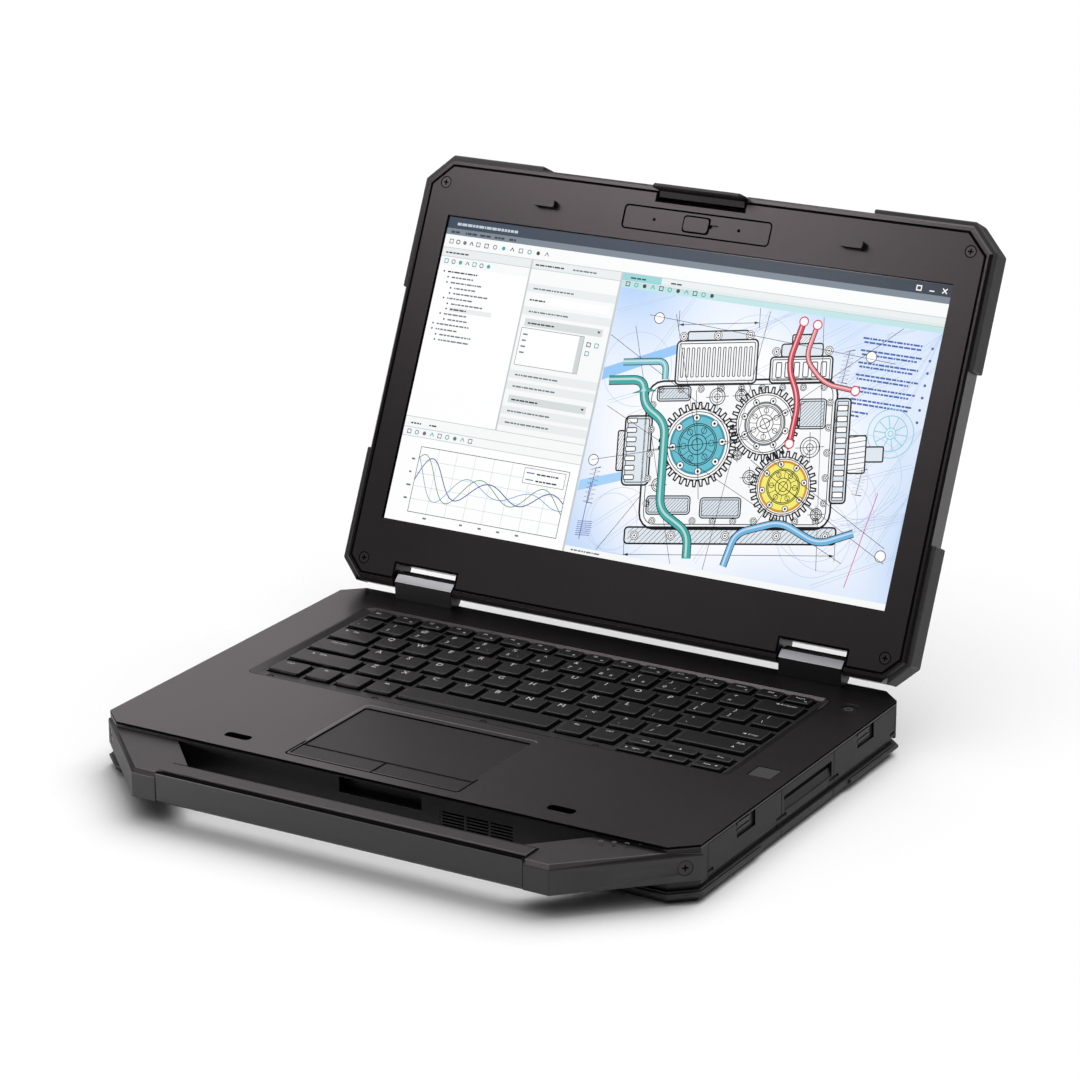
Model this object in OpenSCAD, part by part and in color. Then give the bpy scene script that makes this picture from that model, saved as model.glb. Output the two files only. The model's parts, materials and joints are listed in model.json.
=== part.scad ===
// Rugged 14-inch laptop computer with a carrying handle.
// Millimetres. +X is the user's right, +Y is away from the user, +Z is up.
// The origin is the centre of the overall footprint at the foot level, with the lid open.

/* [Base] */
// Width of the palm rest beside the keyboard
deck_side = 29.45; // [26:0.1:34]
// Depth of the palm rest behind the keyboard
deck_rear = 25.2; // [22:0.1:30]
// Height of the palm rest above the feet
deck_z = 30; // [29.6:0.1:31]
// Thickness of the palm-rest plate
deck_t = 2; // [1.6:0.1:2.2]
// Front corner cut along X
front_cut_x = 12.1; // [10:0.1:14]
// Front corner cut along Y
front_cut_y = 11.1; // [9:0.1:13]
// Rear corner cut along X
rear_cut_x = 10.9; // [9:0.1:13]
// Rear corner cut along Y
rear_cut_y = 10.2; // [8:0.1:12]
// Thickness of the side walls
side_wall = 6; // [5.6:0.1:7]
// Thickness of the front wall
front_wall = 7.6; // [7.4:0.1:9]
// Thickness of the rear wall
rear_wall = 6; // [5:0.1:7]
// Thickness of the case floor
floor_t = 2; // [1.5:0.1:2.4]

/* [Underside] */
// Height of the bottom cover above the feet
foot_drop = 3.25; // [2.5:0.05:3.6]
// Height of the bottom cover's edge
skirt_h = 3.75; // [3.2:0.05:4]
// Height of the shadow groove over the bottom cover
groove_h = 2.7; // [2:0.1:3]
// Depth of the shadow groove
groove_in = 2.5; // [1.5:0.1:3]
// How far the corner bumpers stand out of the walls
bumper_out = 1.4; // [0.8:0.1:2]
// How far a bumper's sole is drawn in from its rim
bumper_draft = 4.5; // [2:0.1:6]
// Width of the bumper strip measured inwards from the walls
bumper_band = 12; // [9:0.5:16]
// Reach of the front bumpers along the sides
front_bumper_reach = 73; // [50:1:90]
// Reach of the rear bumpers along the sides
rear_bumper_reach = 66; // [50:1:90]
// Reach of all bumpers along the front and rear walls
bumper_end_reach = 36; // [25:1:60]
// Width of the dock connector
dock_w = 62; // [50:1:80]
// Radius of the dock guide bores
dock_bore_r = 4; // [3:0.1:5]
// Distance between the dock guide bores
dock_bore_pitch = 96; // [80:1:120]
// Distance of the dock connector from the rear wall
dock_inset = 58; // [45:1:80]

/* [Handle] */
// How far the handle stands out of the front wall
handle_out = 41.3; // [36:0.1:48]
// Distance of the handle's front corners from the side walls
handle_corner = 52.2; // [46:0.1:60]
// Distance of the grip pad's ends from the handle's front corners
grip_end = 14.2; // [10:0.1:20]
// Height of the grip pad's lower edge
grip_z0 = 11.5; // [10:0.1:13]
// Height of the grip pad's upper edge
grip_z1 = 28.1; // [26:0.1:29]
// Depth of the handle bar from front to back
bar_depth = 16.1; // [14:0.1:20]
// Width of the groove between the grip pad and the bar's lip
grip_groove = 1.5; // [1:0.1:2.5]
// Thickness of the grip pad
grip_t = 1.7; // [1.2:0.1:2.2]
// Distance of the hand opening from the handle's front corners
opening_end = 23; // [21:0.5:30]
// Radius of the handle screws' heads
handle_screw_r = 3.6; // [3:0.1:4.2]

/* [Keyboard] */
// Distance from one key to the next
key_pitch = 19.1; // [18.6:0.05:19.3]
// Gap between the tops of two neighbouring keys
key_gap = 4.9; // [4:0.1:5.5]
// Depth of a key's top face
key_top_d = 13.5; // [12.5:0.1:14.5]
// Depth of a function key's top face
function_key_d = 8.4; // [7:0.1:8.6]
// How far a key's flank slopes out on each side
key_flare = 0.9; // [0.4:0.1:1.2]
// Travel of the keys
key_travel = 2; // [1.2:0.1:2.2]
// Depth of the keyboard plate below the palm rest
key_plate_drop = 1.6; // [1.2:0.1:2]
// Height of the keys over the palm rest
key_proud = 0.3; // [0.1:0.1:0.5]
// Clearance of a key in its window
key_play = 0.5; // [0.3:0.1:0.8]
// Distance of the outer keys from the sides of the keyboard window
key_side = 6.4; // [6:0.1:8]
// Distance of the touchpad from the keyboard window
keys_gap = 13.1; // [10:0.1:18]
// Width of the sloping edge at the window's sides
side_slope = 3.3; // [2:0.1:3.4]
// Width of the sloping edge at the window's rear
rear_slope = 1.2; // [0.6:0.1:1.6]
// Distance of the first row's front edge from the window's front edge
key_margin = 10; // [9:0.1:10.4]
// Distance of the function row's rear edge from the window's rear edge
key_rear = 4.3; // [3.6:0.1:6]

/* [Pointing] */
// Width of the touchpad
pad_w = 99; // [80:0.5:110]
// Depth of the touchpad
pad_d = 57.6; // [50:0.1:60]
// Shift of the touchpad's centre towards the left
pad_shift = 10.6; // [0:0.1:20]
// Distance of the touchpad buttons from the front wall
pad_y = 9.3; // [7:0.1:12]
// Depth of the touchpad buttons
button_d = 13; // [11:0.1:15]
// Seam between the touchpad, its buttons and the palm rest
seam = 0.5; // [0.2:0.05:0.6]

/* [Side doors] */
// Thickness of a door
door_t = 2.4; // [2:0.1:2.6]
// Radius of a door's hinge barrel
barrel_r = 1.9; // [1.7:0.05:2]
// Radius of a door's hinge pin
door_pin_r = 0.75; // [0.6:0.05:0.9]
// Length of a knuckle on the case
knuckle = 5; // [4:0.5:7]
// Distance of the first door from the front wall
door_start = 18.1; // [16:0.1:22]
// Distance of the last door from the rear wall
door_end = 12.1; // [11:0.1:16]
// The front door's share of the doors' length
front_door_share = 0.372; // [0.34:0.001:0.4]
// The bay door's share of the doors' length
bay_door_share = 0.2814; // [0.25:0.0001:0.3]
// Gap round a door
door_gap = 0.3; // [0.2:0.05:0.5]
// Length of a door's latch recess
latch_recess_l = 20; // [16:0.5:24]
// Height of a door's latch recess
latch_recess_h = 8.2; // [6:0.1:9]
// Depth of the recesses in a door's face
face_recess = 1.2; // [0.8:0.1:1.4]

/* [Lid] */
// Angle between the screen and the palm rest
lid_angle = 114.93; // [100:0.01:130]
// How far the lid stands over the base's sides
lid_over = 0.85; // [0:0.05:1.5]
// How far the lid's top edge stands over the front wall when it is closed
lid_front_over = 3.8; // [3.6:0.1:4.2]
// Distance from the hinge axis to the lid's bottom edge
lid_tail = 3.9; // [3.4:0.1:4.2]
// Distance from the hinge axis to the front of the bezel
bezel_rise = 7.03; // [6.8:0.01:7.2]
// Thickness of the lid
lid_t = 17; // [16:0.1:18]
// Corner cuts of the lid
lid_cut = 13.5; // [11:0.1:15]
// Thickness of the bezel
bezel_t = 1.6; // [1.2:0.1:2]
// Inset of the bezel from the lid's sides
bezel_in = 2.5; // [2:0.1:4]
// Thickness of the lid's back
lid_wall = 2.4; // [2.2:0.1:2.8]
// Width of the lid beside the visible screen
screen_side = 18.3; // [17.6:0.05:22]
// Width of the lid above the visible screen
screen_over = 32.6; // [31.5:0.05:38]
// Distance from the hinge axis to the visible screen's lower edge
screen_up = 33.05; // [30:0.05:38]
// Thickness of the screen glass
glass_t = 1.1; // [0.7:0.1:1.5]
// Thickness of the display panel
panel_t = 5; // [4:0.1:6]
// How far the lid's bumpers stand out of its sides
lid_bumper_out = 2.5; // [1.5:0.1:3]
// Distance of the lid's two upper stop pads from its sides
stop_in = 78.6; // [74:0.1:84]
// Distance of the stop pads from the lid's top edge
stop_down = 18.35; // [16:0.05:20]

/* [Hinges] */
// Height of the hinge axis above the palm rest
hinge_rise = 7.9; // [7.7:0.1:8.1]
// Distance of the hinge axis behind the rear wall
hinge_back = 0.2; // [0:0.1:0.4]
// Distance of a hinge block from the side wall
block_in = 34; // [32:0.1:40]
// Length of a hinge block
block_l = 36.75; // [32:0.05:44]
// Radius of a hinge block's front
block_r = 6.6; // [6.2:0.1:6.7]
// Radius of the hinge pins
hinge_pin_r = 2.5; // [2:0.1:2.6]
// Running clearance of pins in their bores
pin_play = 0.05; // [0.03:0.01:0.08]

/* [Hidden] */
$fn = 32;
case_grey = "#4a4547";
dark_grey = "#2e2c2e";
key_black = "#1d1d1f";
rubber_grey = "#3a3a3c";
steel = "#8f9296";
board_green = "#1f4d36";
touch = 0.01;

// The keyboard's width sets the base, and the base sets the lid and the handle.
key_rows = 5;
row_pitches = 14.53;
function_row_step = 0.8;
keys_half_w = (row_pitches * key_pitch - key_gap) / 2 + key_side;
keys_y = pad_y + button_d + pad_d + keys_gap;
keys_d = key_margin + key_rows * key_pitch - function_row_step + function_key_d + key_rear;
base_w = 2 * (keys_half_w + deck_side);
base_d = keys_y + keys_d + deck_rear;
handle_half_w = base_w / 2 - handle_corner;
grip_half_w = handle_half_w - grip_end;
opening_half_w = handle_half_w - opening_end;
block_x1 = base_w / 2 - block_in;
block_x0 = block_x1 - block_l;
lid_half_w = base_w / 2 + lid_over;
lid_reach = base_d + hinge_back + lid_front_over;
screen_w = 2 * (lid_half_w - screen_side);
screen_h = lid_reach - screen_up - screen_over;
stop_x = lid_half_w - stop_in;
stop_up = lid_reach - stop_down;
doors_l = base_d - door_start - door_end - 2 * door_gap;
front_door_l = doors_l * front_door_share;
bay_door_l = doors_l * bay_door_share;
rear_door_l = doors_l - front_door_l - bay_door_l;

front_y = -base_d / 2;
rear_y = base_d / 2;
deck_under = deck_z - deck_t;
skirt_top = foot_drop + skirt_h;
case_z = skirt_top + groove_h;
floor_z = case_z + floor_t;
cavity_half_w = base_w / 2 - side_wall;
cavity_y0 = front_y + front_wall;
cavity_y1 = rear_y - rear_wall;

hinge_y = rear_y + hinge_back;
hinge_z = deck_z + hinge_rise;
lid_tilt = 180 - lid_angle;
lid_back = lid_t - bezel_rise;
handle_y = front_y - handle_out;
back_bevel = 2.5;
bumper_inset = 1.5;
lid_reach_y = hinge_y + (lid_reach + lid_bumper_out) * cos(lid_tilt) + (lid_back - bumper_inset) * sin(lid_tilt);
origin_y = (handle_y + lid_reach_y) / 2;

// Everything is drawn round the middle of the base and then shifted to the origin.
module in_place() translate([0, -origin_y, 0]) children();

// The lid is drawn flat, screen up, round its hinge axis.
module in_lid() translate([0, hinge_y - origin_y, hinge_z]) rotate([lid_tilt, 0, 0]) children();

module both_sides() {
    children();
    mirror([1, 0, 0]) children();
}

// A rectangle with its four corners cut off.
function cut_box(half_w, y0, y1, cut0, cut1) = [
    [-half_w + cut0.x, y0], [half_w - cut0.x, y0], [half_w, y0 + cut0.y],
    [half_w, y1 - cut1.y], [half_w - cut1.x, y1], [-half_w + cut1.x, y1],
    [-half_w, y1 - cut1.y], [-half_w, y0 + cut0.y]];

corner_shrink = 2 - sqrt(2);
function base_outline(inset) = cut_box(base_w / 2 - inset, front_y + inset, rear_y - inset,
    [front_cut_x, front_cut_y] - inset * corner_shrink * [1, 1],
    [rear_cut_x, rear_cut_y] - inset * corner_shrink * [1, 1]);

module slab(points, z0, z1) translate([0, 0, z0]) linear_extrude(z1 - z0) polygon(points);

module box(low, high) translate(low) cube(high - low);

// A box with its four upright edges rounded.
module soft_box(low, high, r) hull() for (x = [low.x + r, high.x - r]) for (y = [low.y + r, high.y - r])
    translate([x, y, 0]) rod_z(low.z, high.z, r);

module along_x(x0, x1) translate([x0, 0, 0]) rotate([90, 0, 90]) linear_extrude(x1 - x0) children();

module rod_x(x0, x1, r) translate([x0, 0, 0]) rotate([0, 90, 0]) cylinder(h = x1 - x0, r = r);

module rod_y(y0, y1, r) translate([0, y1, 0]) rotate([90, 0, 0]) cylinder(h = y1 - y0, r = r);

module rod_z(z0, z1, r) translate([0, 0, z0]) cylinder(h = z1 - z0, r = r);

// ---- Side doors: shared sizes ----
door_axis_x = base_w / 2 - barrel_r;
door_axis_z = case_z + barrel_r + door_gap;
door_h = deck_under - door_gap - door_axis_z;
door_back = door_t - barrel_r;
recess_x = door_axis_x - door_back - door_gap;
front_door_y = front_y + door_start;
bay_door_y = front_door_y + front_door_l + door_gap;
rear_door_y = bay_door_y + bay_door_l + door_gap;
knuckle_r = barrel_r + door_gap;
right_doors = [[front_door_y, front_door_l], [bay_door_y, bay_door_l], [rear_door_y, rear_door_l]];
left_doors = [[front_door_y, front_door_l], [rear_door_y, rear_door_l]];

// ---- Front wall: shared sizes ----
hook_recess_half_w = 24;
hook_recess_z0 = 19.5;
hook_recess_z1 = deck_under - 0.3;
hook_recess_d = 6;
grille_x0 = 34.5;
grille_w = 42.5;
grille_z0 = 13.6;
grille_h = 9.4;
grille_t = 1.5;
speaker_d = 9;

// ---- Inside: shared sizes ----
block_seat_z = 21;
post_r = 3;
post_bore_r = 1;
plate_t = 1.2;
plate_top = deck_z - key_plate_drop;
plate_under = plate_top - plate_t;
key_under = plate_under - 1.1;
membrane_top = key_under - key_travel - 0.3;
membrane_t = 1;
membrane_under = membrane_top - membrane_t;
drive_d = front_door_l - 6;
drive_y0 = front_door_y + 3.5;
post_x = cavity_half_w - 36;
post_places = [for (x = [-post_x, 0, post_x]) for (y = [drive_y0 + drive_d + 6, cavity_y1 - 24]) [x, y]];
board_z0 = floor_z + 2.3;
board_t = 1.6;
port_block_d = 16;
fan_x = 69 - cavity_half_w;
fan_y = cavity_y1 - 50;
fan_r = 24;
fin_count = 16;
fin_pitch = 4;
fin_x0 = fan_x - 3;
fin_x1 = fin_x0 + fin_pitch * (fin_count - 0.5);
fin_y0 = cavity_y1 - 15.8;
keys_y0 = front_y + keys_y;
keys_y1 = keys_y0 + keys_d;

// ---- Case ----
module door_seat(doors) {
    for (door = doors) {
        box([recess_x, door[0] - door_gap, case_z - 1],
            [base_w / 2 + 1, door[0] + door[1] + door_gap, deck_z]);
        translate([door_axis_x, 0, door_axis_z])
            rod_y(door[0] - door_gap, door[0] + door[1] + door_gap, knuckle_r);
    }
}

module door_knuckles(doors) for (door = doors)
    for (y0 = [door[0], door[0] + door[1] - knuckle]) {
        translate([door_axis_x, 0, door_axis_z]) rod_y(y0, y0 + knuckle, barrel_r);
        box([recess_x - barrel_r, y0, case_z], [door_axis_x, y0 + knuckle, door_axis_z + barrel_r]);
    }

module door_pin_bores(doors) for (door = doors)
    translate([door_axis_x, 0, door_axis_z])
        rod_y(door[0], door[0] + door[1], door_pin_r);

module wall_window(y0, y1, z0, z1)
    box([cavity_half_w - 1, y0, z0], [base_w / 2, y1, z1]);

window_z0 = door_axis_z + knuckle_r + 0.8;
window_z1 = deck_under - 1.6;
port_y0 = rear_door_y + 9;
port_y1 = rear_door_y + rear_door_l - 12;
bay_y0 = bay_door_y + 6;
vent_count = 12;
vent_pitch = 4.6;
vent_w = 2.4;
vent_x0 = fin_x0 + 12;
vent_z0 = 13.5;
vent_h = 9;
jack_x = block_x0 - 41;
jack_z = 19;
jack_r = 3.75;
jack_body_r = 5;

module base_case() color(case_grey) in_place() difference() {
    union() {
        difference() {
            slab(base_outline(0), case_z, deck_under);
            slab(cut_box(cavity_half_w, cavity_y0, cavity_y1, [2, 2], [9, 8]), floor_z, deck_z);
            door_seat(right_doors);
            mirror([1, 0, 0]) door_seat(left_doors);
            wall_window(drive_y0, drive_y0 + drive_d, window_z0, window_z1);
            mirror([1, 0, 0]) wall_window(drive_y0, drive_y0 + drive_d, window_z0, window_z1);
            wall_window(bay_y0, bay_door_y + bay_door_l - 6, window_z0, window_z1);
            wall_window(port_y0, port_y1, window_z0, window_z1);
            mirror([1, 0, 0]) wall_window(port_y0, port_y1, window_z0, window_z1);
            box([-hook_recess_half_w, front_y - 1, hook_recess_z0],
                [hook_recess_half_w, front_y + hook_recess_d, hook_recess_z1]);
            box([grille_x0, front_y - 1, grille_z0],
                [grille_x0 + grille_w, cavity_y0 + 1, grille_z0 + grille_h]);
            both_sides() box([block_x0 - door_gap, hinge_y - block_r - door_gap, block_seat_z],
                [block_x1 + door_gap, rear_y + 1, deck_z]);
            for (i = [0 : vent_count - 1])
                box([vent_x0 + i * vent_pitch, cavity_y1 - 1, vent_z0],
                    [vent_x0 + i * vent_pitch + vent_w, rear_y + 1, vent_z0 + vent_h]);
            translate([jack_x, 0, jack_z]) rod_y(cavity_y1 - 1, rear_y + 1, jack_body_r);
        }
        door_knuckles(right_doors);
        mirror([1, 0, 0]) door_knuckles(left_doors);
        for (place = post_places) translate([place.x, place.y, 0])
            rod_z(floor_z - touch, membrane_under, post_r);
    }
    door_pin_bores(right_doors);
    mirror([1, 0, 0]) door_pin_bores(left_doors);
    both_sides() handle_screw_seat();
    translate([fan_x, fan_y, 0]) rod_z(case_z - 1, floor_z + 1, intake_r);
    for (place = post_places) translate([place.x, place.y, 0])
        rod_z(case_z - 1, membrane_under - 2, post_bore_r);
}

cover_screw_r = 2.6;
cover_screw_h = 1.6;
cover_pocket_r = 3.2;
cover_t = 2;
cover_post_r = 5.2;
dock_y = rear_y - dock_inset;
dock_d = 9;
intake_count = 9;
intake_r = 16;

// The cover is a tray with a post round each screw, a frame round the dock and cross ribs.
module cover_hollow() difference() {
    slab(base_outline(groove_in + cover_t), foot_drop + cover_t, case_z + 1);
    bumper_seats(cover_t);
    for (place = post_places) translate([place.x, place.y, 0]) rod_z(0, deck_z, cover_post_r);
    box([-dock_bore_pitch / 2 - dock_bore_r - 3, dock_y - dock_bore_r - 3, 0],
        [dock_bore_pitch / 2 + dock_bore_r + 3, dock_y + dock_bore_r + 3, deck_z]);
    for (x = [-1, 1] * base_w / 6) box([x - 1, -base_d, 0], [x + 1, base_d, deck_z]);
    for (y = [front_y + base_d / 4, dock_y - 40]) box([-base_w, y - 1, 0], [base_w, y + 1, deck_z]);
}

module bottom_cover() color(dark_grey) in_place() difference() {
    union() {
        difference() {
            slab(base_outline(0), foot_drop, skirt_top);
            bumper_seats(0);
        }
        slab(base_outline(groove_in), skirt_top, case_z);
    }
    cover_hollow();
    for (place = post_places) translate([place.x, place.y, 0]) {
        rod_z(foot_drop - 1, foot_drop + cover_screw_h + 0.3, cover_pocket_r);
        rod_z(foot_drop - 1, case_z + 1, post_bore_r);
    }
    box([-dock_w / 2, dock_y - dock_d / 2, foot_drop - 1],
        [dock_w / 2, dock_y + dock_d / 2, case_z + 1]);
    for (side = [-1, 1]) translate([side * dock_bore_pitch / 2, dock_y, 0])
        rod_z(foot_drop - 1, case_z + 1, dock_bore_r);
    for (i = [0 : intake_count - 1])
        box([fan_x - 18, fan_y - 18 + i * 4.5, foot_drop - 1],
            [fan_x + 18, fan_y - 18 + i * 4.5 + 2, case_z + 1]);
}

module bottom_screws() color(steel) in_place() for (place = post_places)
    translate([place.x, place.y, 0]) difference() {
        union() {
            rod_z(foot_drop + 0.3, foot_drop + 0.3 + cover_screw_h, cover_screw_r);
            rod_z(foot_drop + cover_screw_h, membrane_under - 3, post_bore_r);
        }
        rod_z(foot_drop, foot_drop + 1.1, 1.1);
    }

// A corner bumper is the base's rim, cut to the stretch round one corner.
bumper_top = skirt_top - 0.9;
bumper_zones = [[front_y - 10, front_y + front_bumper_reach], [rear_y - rear_bumper_reach, rear_y + 10]];

module corner_zone(zone, grow) box([base_w / 2 - bumper_end_reach - grow, zone[0] - grow, -1],
    [base_w, zone[1] + grow, bumper_top + grow]);

module bumper_seats(grow) difference() {
    both_sides() for (zone = bumper_zones) corner_zone(zone, grow);
    slab(base_outline(bumper_band + grow), -2, deck_z);
}

module base_bumpers() color(rubber_grey) in_place() both_sides() for (zone = bumper_zones)
    intersection() {
        difference() {
            hull() {
                slab(base_outline(bumper_draft - bumper_out), 0, 1);
                slab(base_outline(-bumper_out), foot_drop + 1, bumper_top);
            }
            slab(base_outline(bumper_band), -1, deck_z);
        }
        corner_zone(zone, 0);
    }

// ---- Palm rest ----
pad_y0 = front_y + pad_y;
pad_x0 = -pad_shift - pad_w / 2;
power_x = base_w / 2 - 16.5;
power_y = rear_y - 33.1;
power_r = 4;
reader_x = base_w / 2 - 21.5;
reader_y = keys_y0 + 5.1;
reader_w = 13.3;
reader_d = 13;
stop_slot_w = 15.2;
stop_slot_d = 6;
stop_slot_r = 2.4;
pad_corner_r = 1.6;
stop_y = hinge_y - stop_up;

module keyboard_window() {
    well = cut_box(keys_half_w - side_slope, keys_y0, keys_y1 - rear_slope, [1, 1], [2, 2]);
    hull() {
        slab(cut_box(keys_half_w, keys_y0, keys_y1, [2, 2], [4, 4]), deck_z, deck_z + 1);
        slab(well, plate_top, plate_top + touch);
    }
    slab(well, deck_under - 1, plate_top + touch);
}

module palmrest_plate() color(case_grey) in_place() difference() {
    slab(base_outline(0), deck_under, deck_z);
    keyboard_window();
    soft_box([pad_x0, pad_y0, deck_under - 1], [pad_x0 + pad_w, pad_y0 + button_d + pad_d, deck_z + 1], pad_corner_r);
    both_sides() soft_box([stop_x - stop_slot_w / 2, stop_y - stop_slot_d / 2, deck_under - 1],
        [stop_x + stop_slot_w / 2, stop_y + stop_slot_d / 2, deck_z + 1], stop_slot_r);
    box([reader_x, reader_y, deck_under - 1], [reader_x + reader_w, reader_y + reader_d, deck_z + 1]);
    translate([power_x, power_y, 0]) rod_z(deck_under - 1, deck_z + 1, power_r + 0.2);
    both_sides() box([block_x0 - door_gap, hinge_y - block_r - door_gap, deck_under - 1],
        [block_x1 + door_gap, rear_y + 1, deck_z + 1]);
}

// ---- Keyboard ----
keys_left = key_side - keys_half_w;
row_y0 = keys_y0 + key_margin;
function row_y(row) = row_y0 + row * key_pitch - (row == key_rows ? function_row_step : 0);

// Each key is [left edge in pitches, width in pitches]; a row starts at the left of the block.
function unit_row(start, count) = [for (i = [0 : count - 1]) [start + i, 1]];
function_row = [for (i = [0 : 15]) [i * 0.9, 0.93]];
number_row = concat(unit_row(0, 13), [[13, 1.5]]);
upper_row = concat([[0, 1.5]], unit_row(1.5, 12), [[13.5, 1]]);
home_row = concat([[0, 1.75]], unit_row(1.75, 11), [[12.75, 1.77]]);
lower_row = concat([[0, 2.25]], unit_row(2.25, 10), [[12.25, 2.27]]);
modifier_row = [[0, 1.2], [1.21, 1], [2.21, 1], [3.2, 1], [9.2, 1], [10.2, 1]];
space_row = [[4.22, 4.95]];
cursor_columns = [[11.26, 1.04], [12.29, 1.2], [13.49, 1.03]];
half_key_d = 6;
half_key_step = 11;
half_key_drop = 6.7;

// A key's spot is the low corner and the size of its top face.
function key_spot(key, y, d) = [[keys_left + key[0] * key_pitch, y], [key[1] * key_pitch - key_gap, d]];
function row_spots(keys, row, d) = [for (key = keys) key_spot(key, row_y(row), d)];
function_spots = row_spots(function_row, key_rows, function_key_d);
number_spots = row_spots(number_row, 4, key_top_d);
upper_spots = row_spots(upper_row, 3, key_top_d);
home_spots = row_spots(home_row, 2, key_top_d);
lower_spots = row_spots(lower_row, 1, key_top_d);
modifier_spots = row_spots(modifier_row, 0, key_top_d);
space_spots = row_spots(space_row, 0, key_top_d);
cursor_spots = [for (column = cursor_columns) for (level = [0, 1])
    key_spot(column, row_y0 - half_key_drop + level * half_key_step, half_key_d)];
all_spots = concat(function_spots, number_spots, upper_spots, home_spots, lower_spots,
    modifier_spots, space_spots, cursor_spots);

module spot_box(spot, grow, z0, z1)
    box([spot[0].x - grow, spot[0].y - grow, z0],
        [spot[0].x + spot[1].x + grow, spot[0].y + spot[1].y + grow, z1]);

window_grow = key_flare + key_play;
key_top = deck_z + key_proud;

module key_cap(spot) hull() {
    spot_box(spot, 0, key_top - 0.3, key_top);
    spot_box(spot, key_flare, key_under, plate_top);
}

module key_group(spots) color(key_black) in_place() for (spot = spots) key_cap(spot);

module function_keys() key_group(function_spots);
module number_keys() key_group(number_spots);
module upper_letter_keys() key_group(upper_spots);
module home_letter_keys() key_group(home_spots);
module lower_letter_keys() key_group(lower_spots);
module modifier_keys() key_group(modifier_spots);
module space_bar() key_group(space_spots);
module cursor_keys() key_group(cursor_spots);

plate_half_w = keys_half_w - side_slope - 0.15;
plate_y0 = keys_y0 + 0.15;
plate_y1 = keys_y1 - rear_slope - 0.15;
rim_t = 0.6;
plate_screw_r = 1.5;
plate_screw_y = plate_y0 + 3.2;
plate_screw_xs = [for (i = [-2 : 1]) i * plate_half_w * 0.473];

module keyboard_plate() color(key_black) in_place() difference() {
    slab(cut_box(plate_half_w, plate_y0, plate_y1, [1, 1], [2, 2]), membrane_top, plate_top);
    box([-plate_half_w + rim_t, plate_y0 + rim_t, membrane_top - 1],
        [plate_half_w - rim_t, plate_y1 - rim_t, plate_under]);
    for (spot = all_spots) spot_box(spot, window_grow, plate_under - 1, plate_top + 1);
    for (x = plate_screw_xs) translate([x, plate_screw_y, 0]) rod_z(plate_under - 1, plate_top + 1, plate_screw_r + 0.3);
}

module keyboard_screws() color(steel) in_place() for (x = plate_screw_xs)
    translate([x, plate_screw_y, 0]) difference() {
        rod_z(membrane_top, plate_top - 0.2, plate_screw_r);
        rod_z(plate_top - 0.8, plate_top, 0.7);
    }

dome_r = 2.2;
dome_h = 0.2;

module key_membrane() color(steel) in_place() {
    box([-plate_half_w, plate_y0, membrane_under], [plate_half_w, plate_y1, membrane_top]);
    for (spot = all_spots) translate([spot[0].x + spot[1].x / 2, spot[0].y + spot[1].y / 2, 0])
        rod_z(membrane_top - touch, membrane_top + dome_h, dome_r);
}

// ---- Touchpad ----
pad_under = deck_under - 1.5;

module touch_outline() soft_box([pad_x0 + seam, pad_y0 + seam, deck_under - 2],
    [pad_x0 + pad_w - seam, pad_y0 + button_d + pad_d - seam, deck_z], pad_corner_r - seam);

module touchpad() color(dark_grey) in_place() {
    intersection() {
        touch_outline();
        box([pad_x0, pad_y0 + button_d + seam, pad_under], [pad_x0 + pad_w, pad_y0 + button_d + pad_d, deck_z - 0.5]);
    }
    box([pad_x0 - 3, pad_y0 + button_d + seam, pad_under],
        [pad_x0 + pad_w + 3, pad_y0 + button_d + pad_d + 3, deck_under - 0.1]);
}

module touch_button(x0, x1, lip0, lip1) {
    intersection() {
        touch_outline();
        box([x0, pad_y0, deck_under - 1.2], [x1, pad_y0 + button_d - seam / 2, deck_z - 0.2]);
    }
    box([x0 - lip0, pad_y0 - 1.5, deck_under - 1.2], [x1 + lip1, pad_y0 + button_d - seam / 2, deck_under - 0.2]);
}

module touchpad_left_button() color(dark_grey) in_place()
    touch_button(pad_x0 + seam, pad_x0 + pad_w / 2 - seam / 2, 1.5, 0);
module touchpad_right_button() color(dark_grey) in_place()
    touch_button(pad_x0 + pad_w / 2 + seam / 2, pad_x0 + pad_w - seam, 0, 1.5);

module fingerprint_reader() color(steel) in_place() {
    box([reader_x + seam, reader_y + seam, deck_under - 1.5],
        [reader_x + reader_w - seam, reader_y + reader_d - seam, deck_z - 0.2]);
    box([reader_x - 1.5, reader_y - 1.5, deck_under - 1.5],
        [reader_x + reader_w + 1, reader_y + reader_d + 1.5, deck_under - 0.1]);
}

module power_button() color(dark_grey) in_place() translate([power_x, power_y, 0]) {
    rod_z(deck_under - 1, deck_z - 0.2, power_r);
    rod_z(deck_under - 1.2, deck_under - 0.2, power_r + 1.2);
}

// ---- Handle ----
bracket_top = 27.2;
bracket_z0 = 12;
bracket_bevel = 2.2;
arm_half_w = base_w / 2 + 1.5;
bar_y1 = handle_y + bar_depth;
grip_back = handle_y + grip_t;
bar_y0 = grip_back + grip_groove;
opening_slant = 24.5;
light_first = [handle_half_w + 9.3, front_y - 8.6];
light_step = [6, 1.9];
light_r = 0.9;
light_places = [for (i = [0 : 3]) light_first + i * light_step];

slant = [arm_half_w - handle_half_w, front_y + front_cut_y - handle_y];
slant_angle = atan2(slant.y, slant.x);

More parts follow.
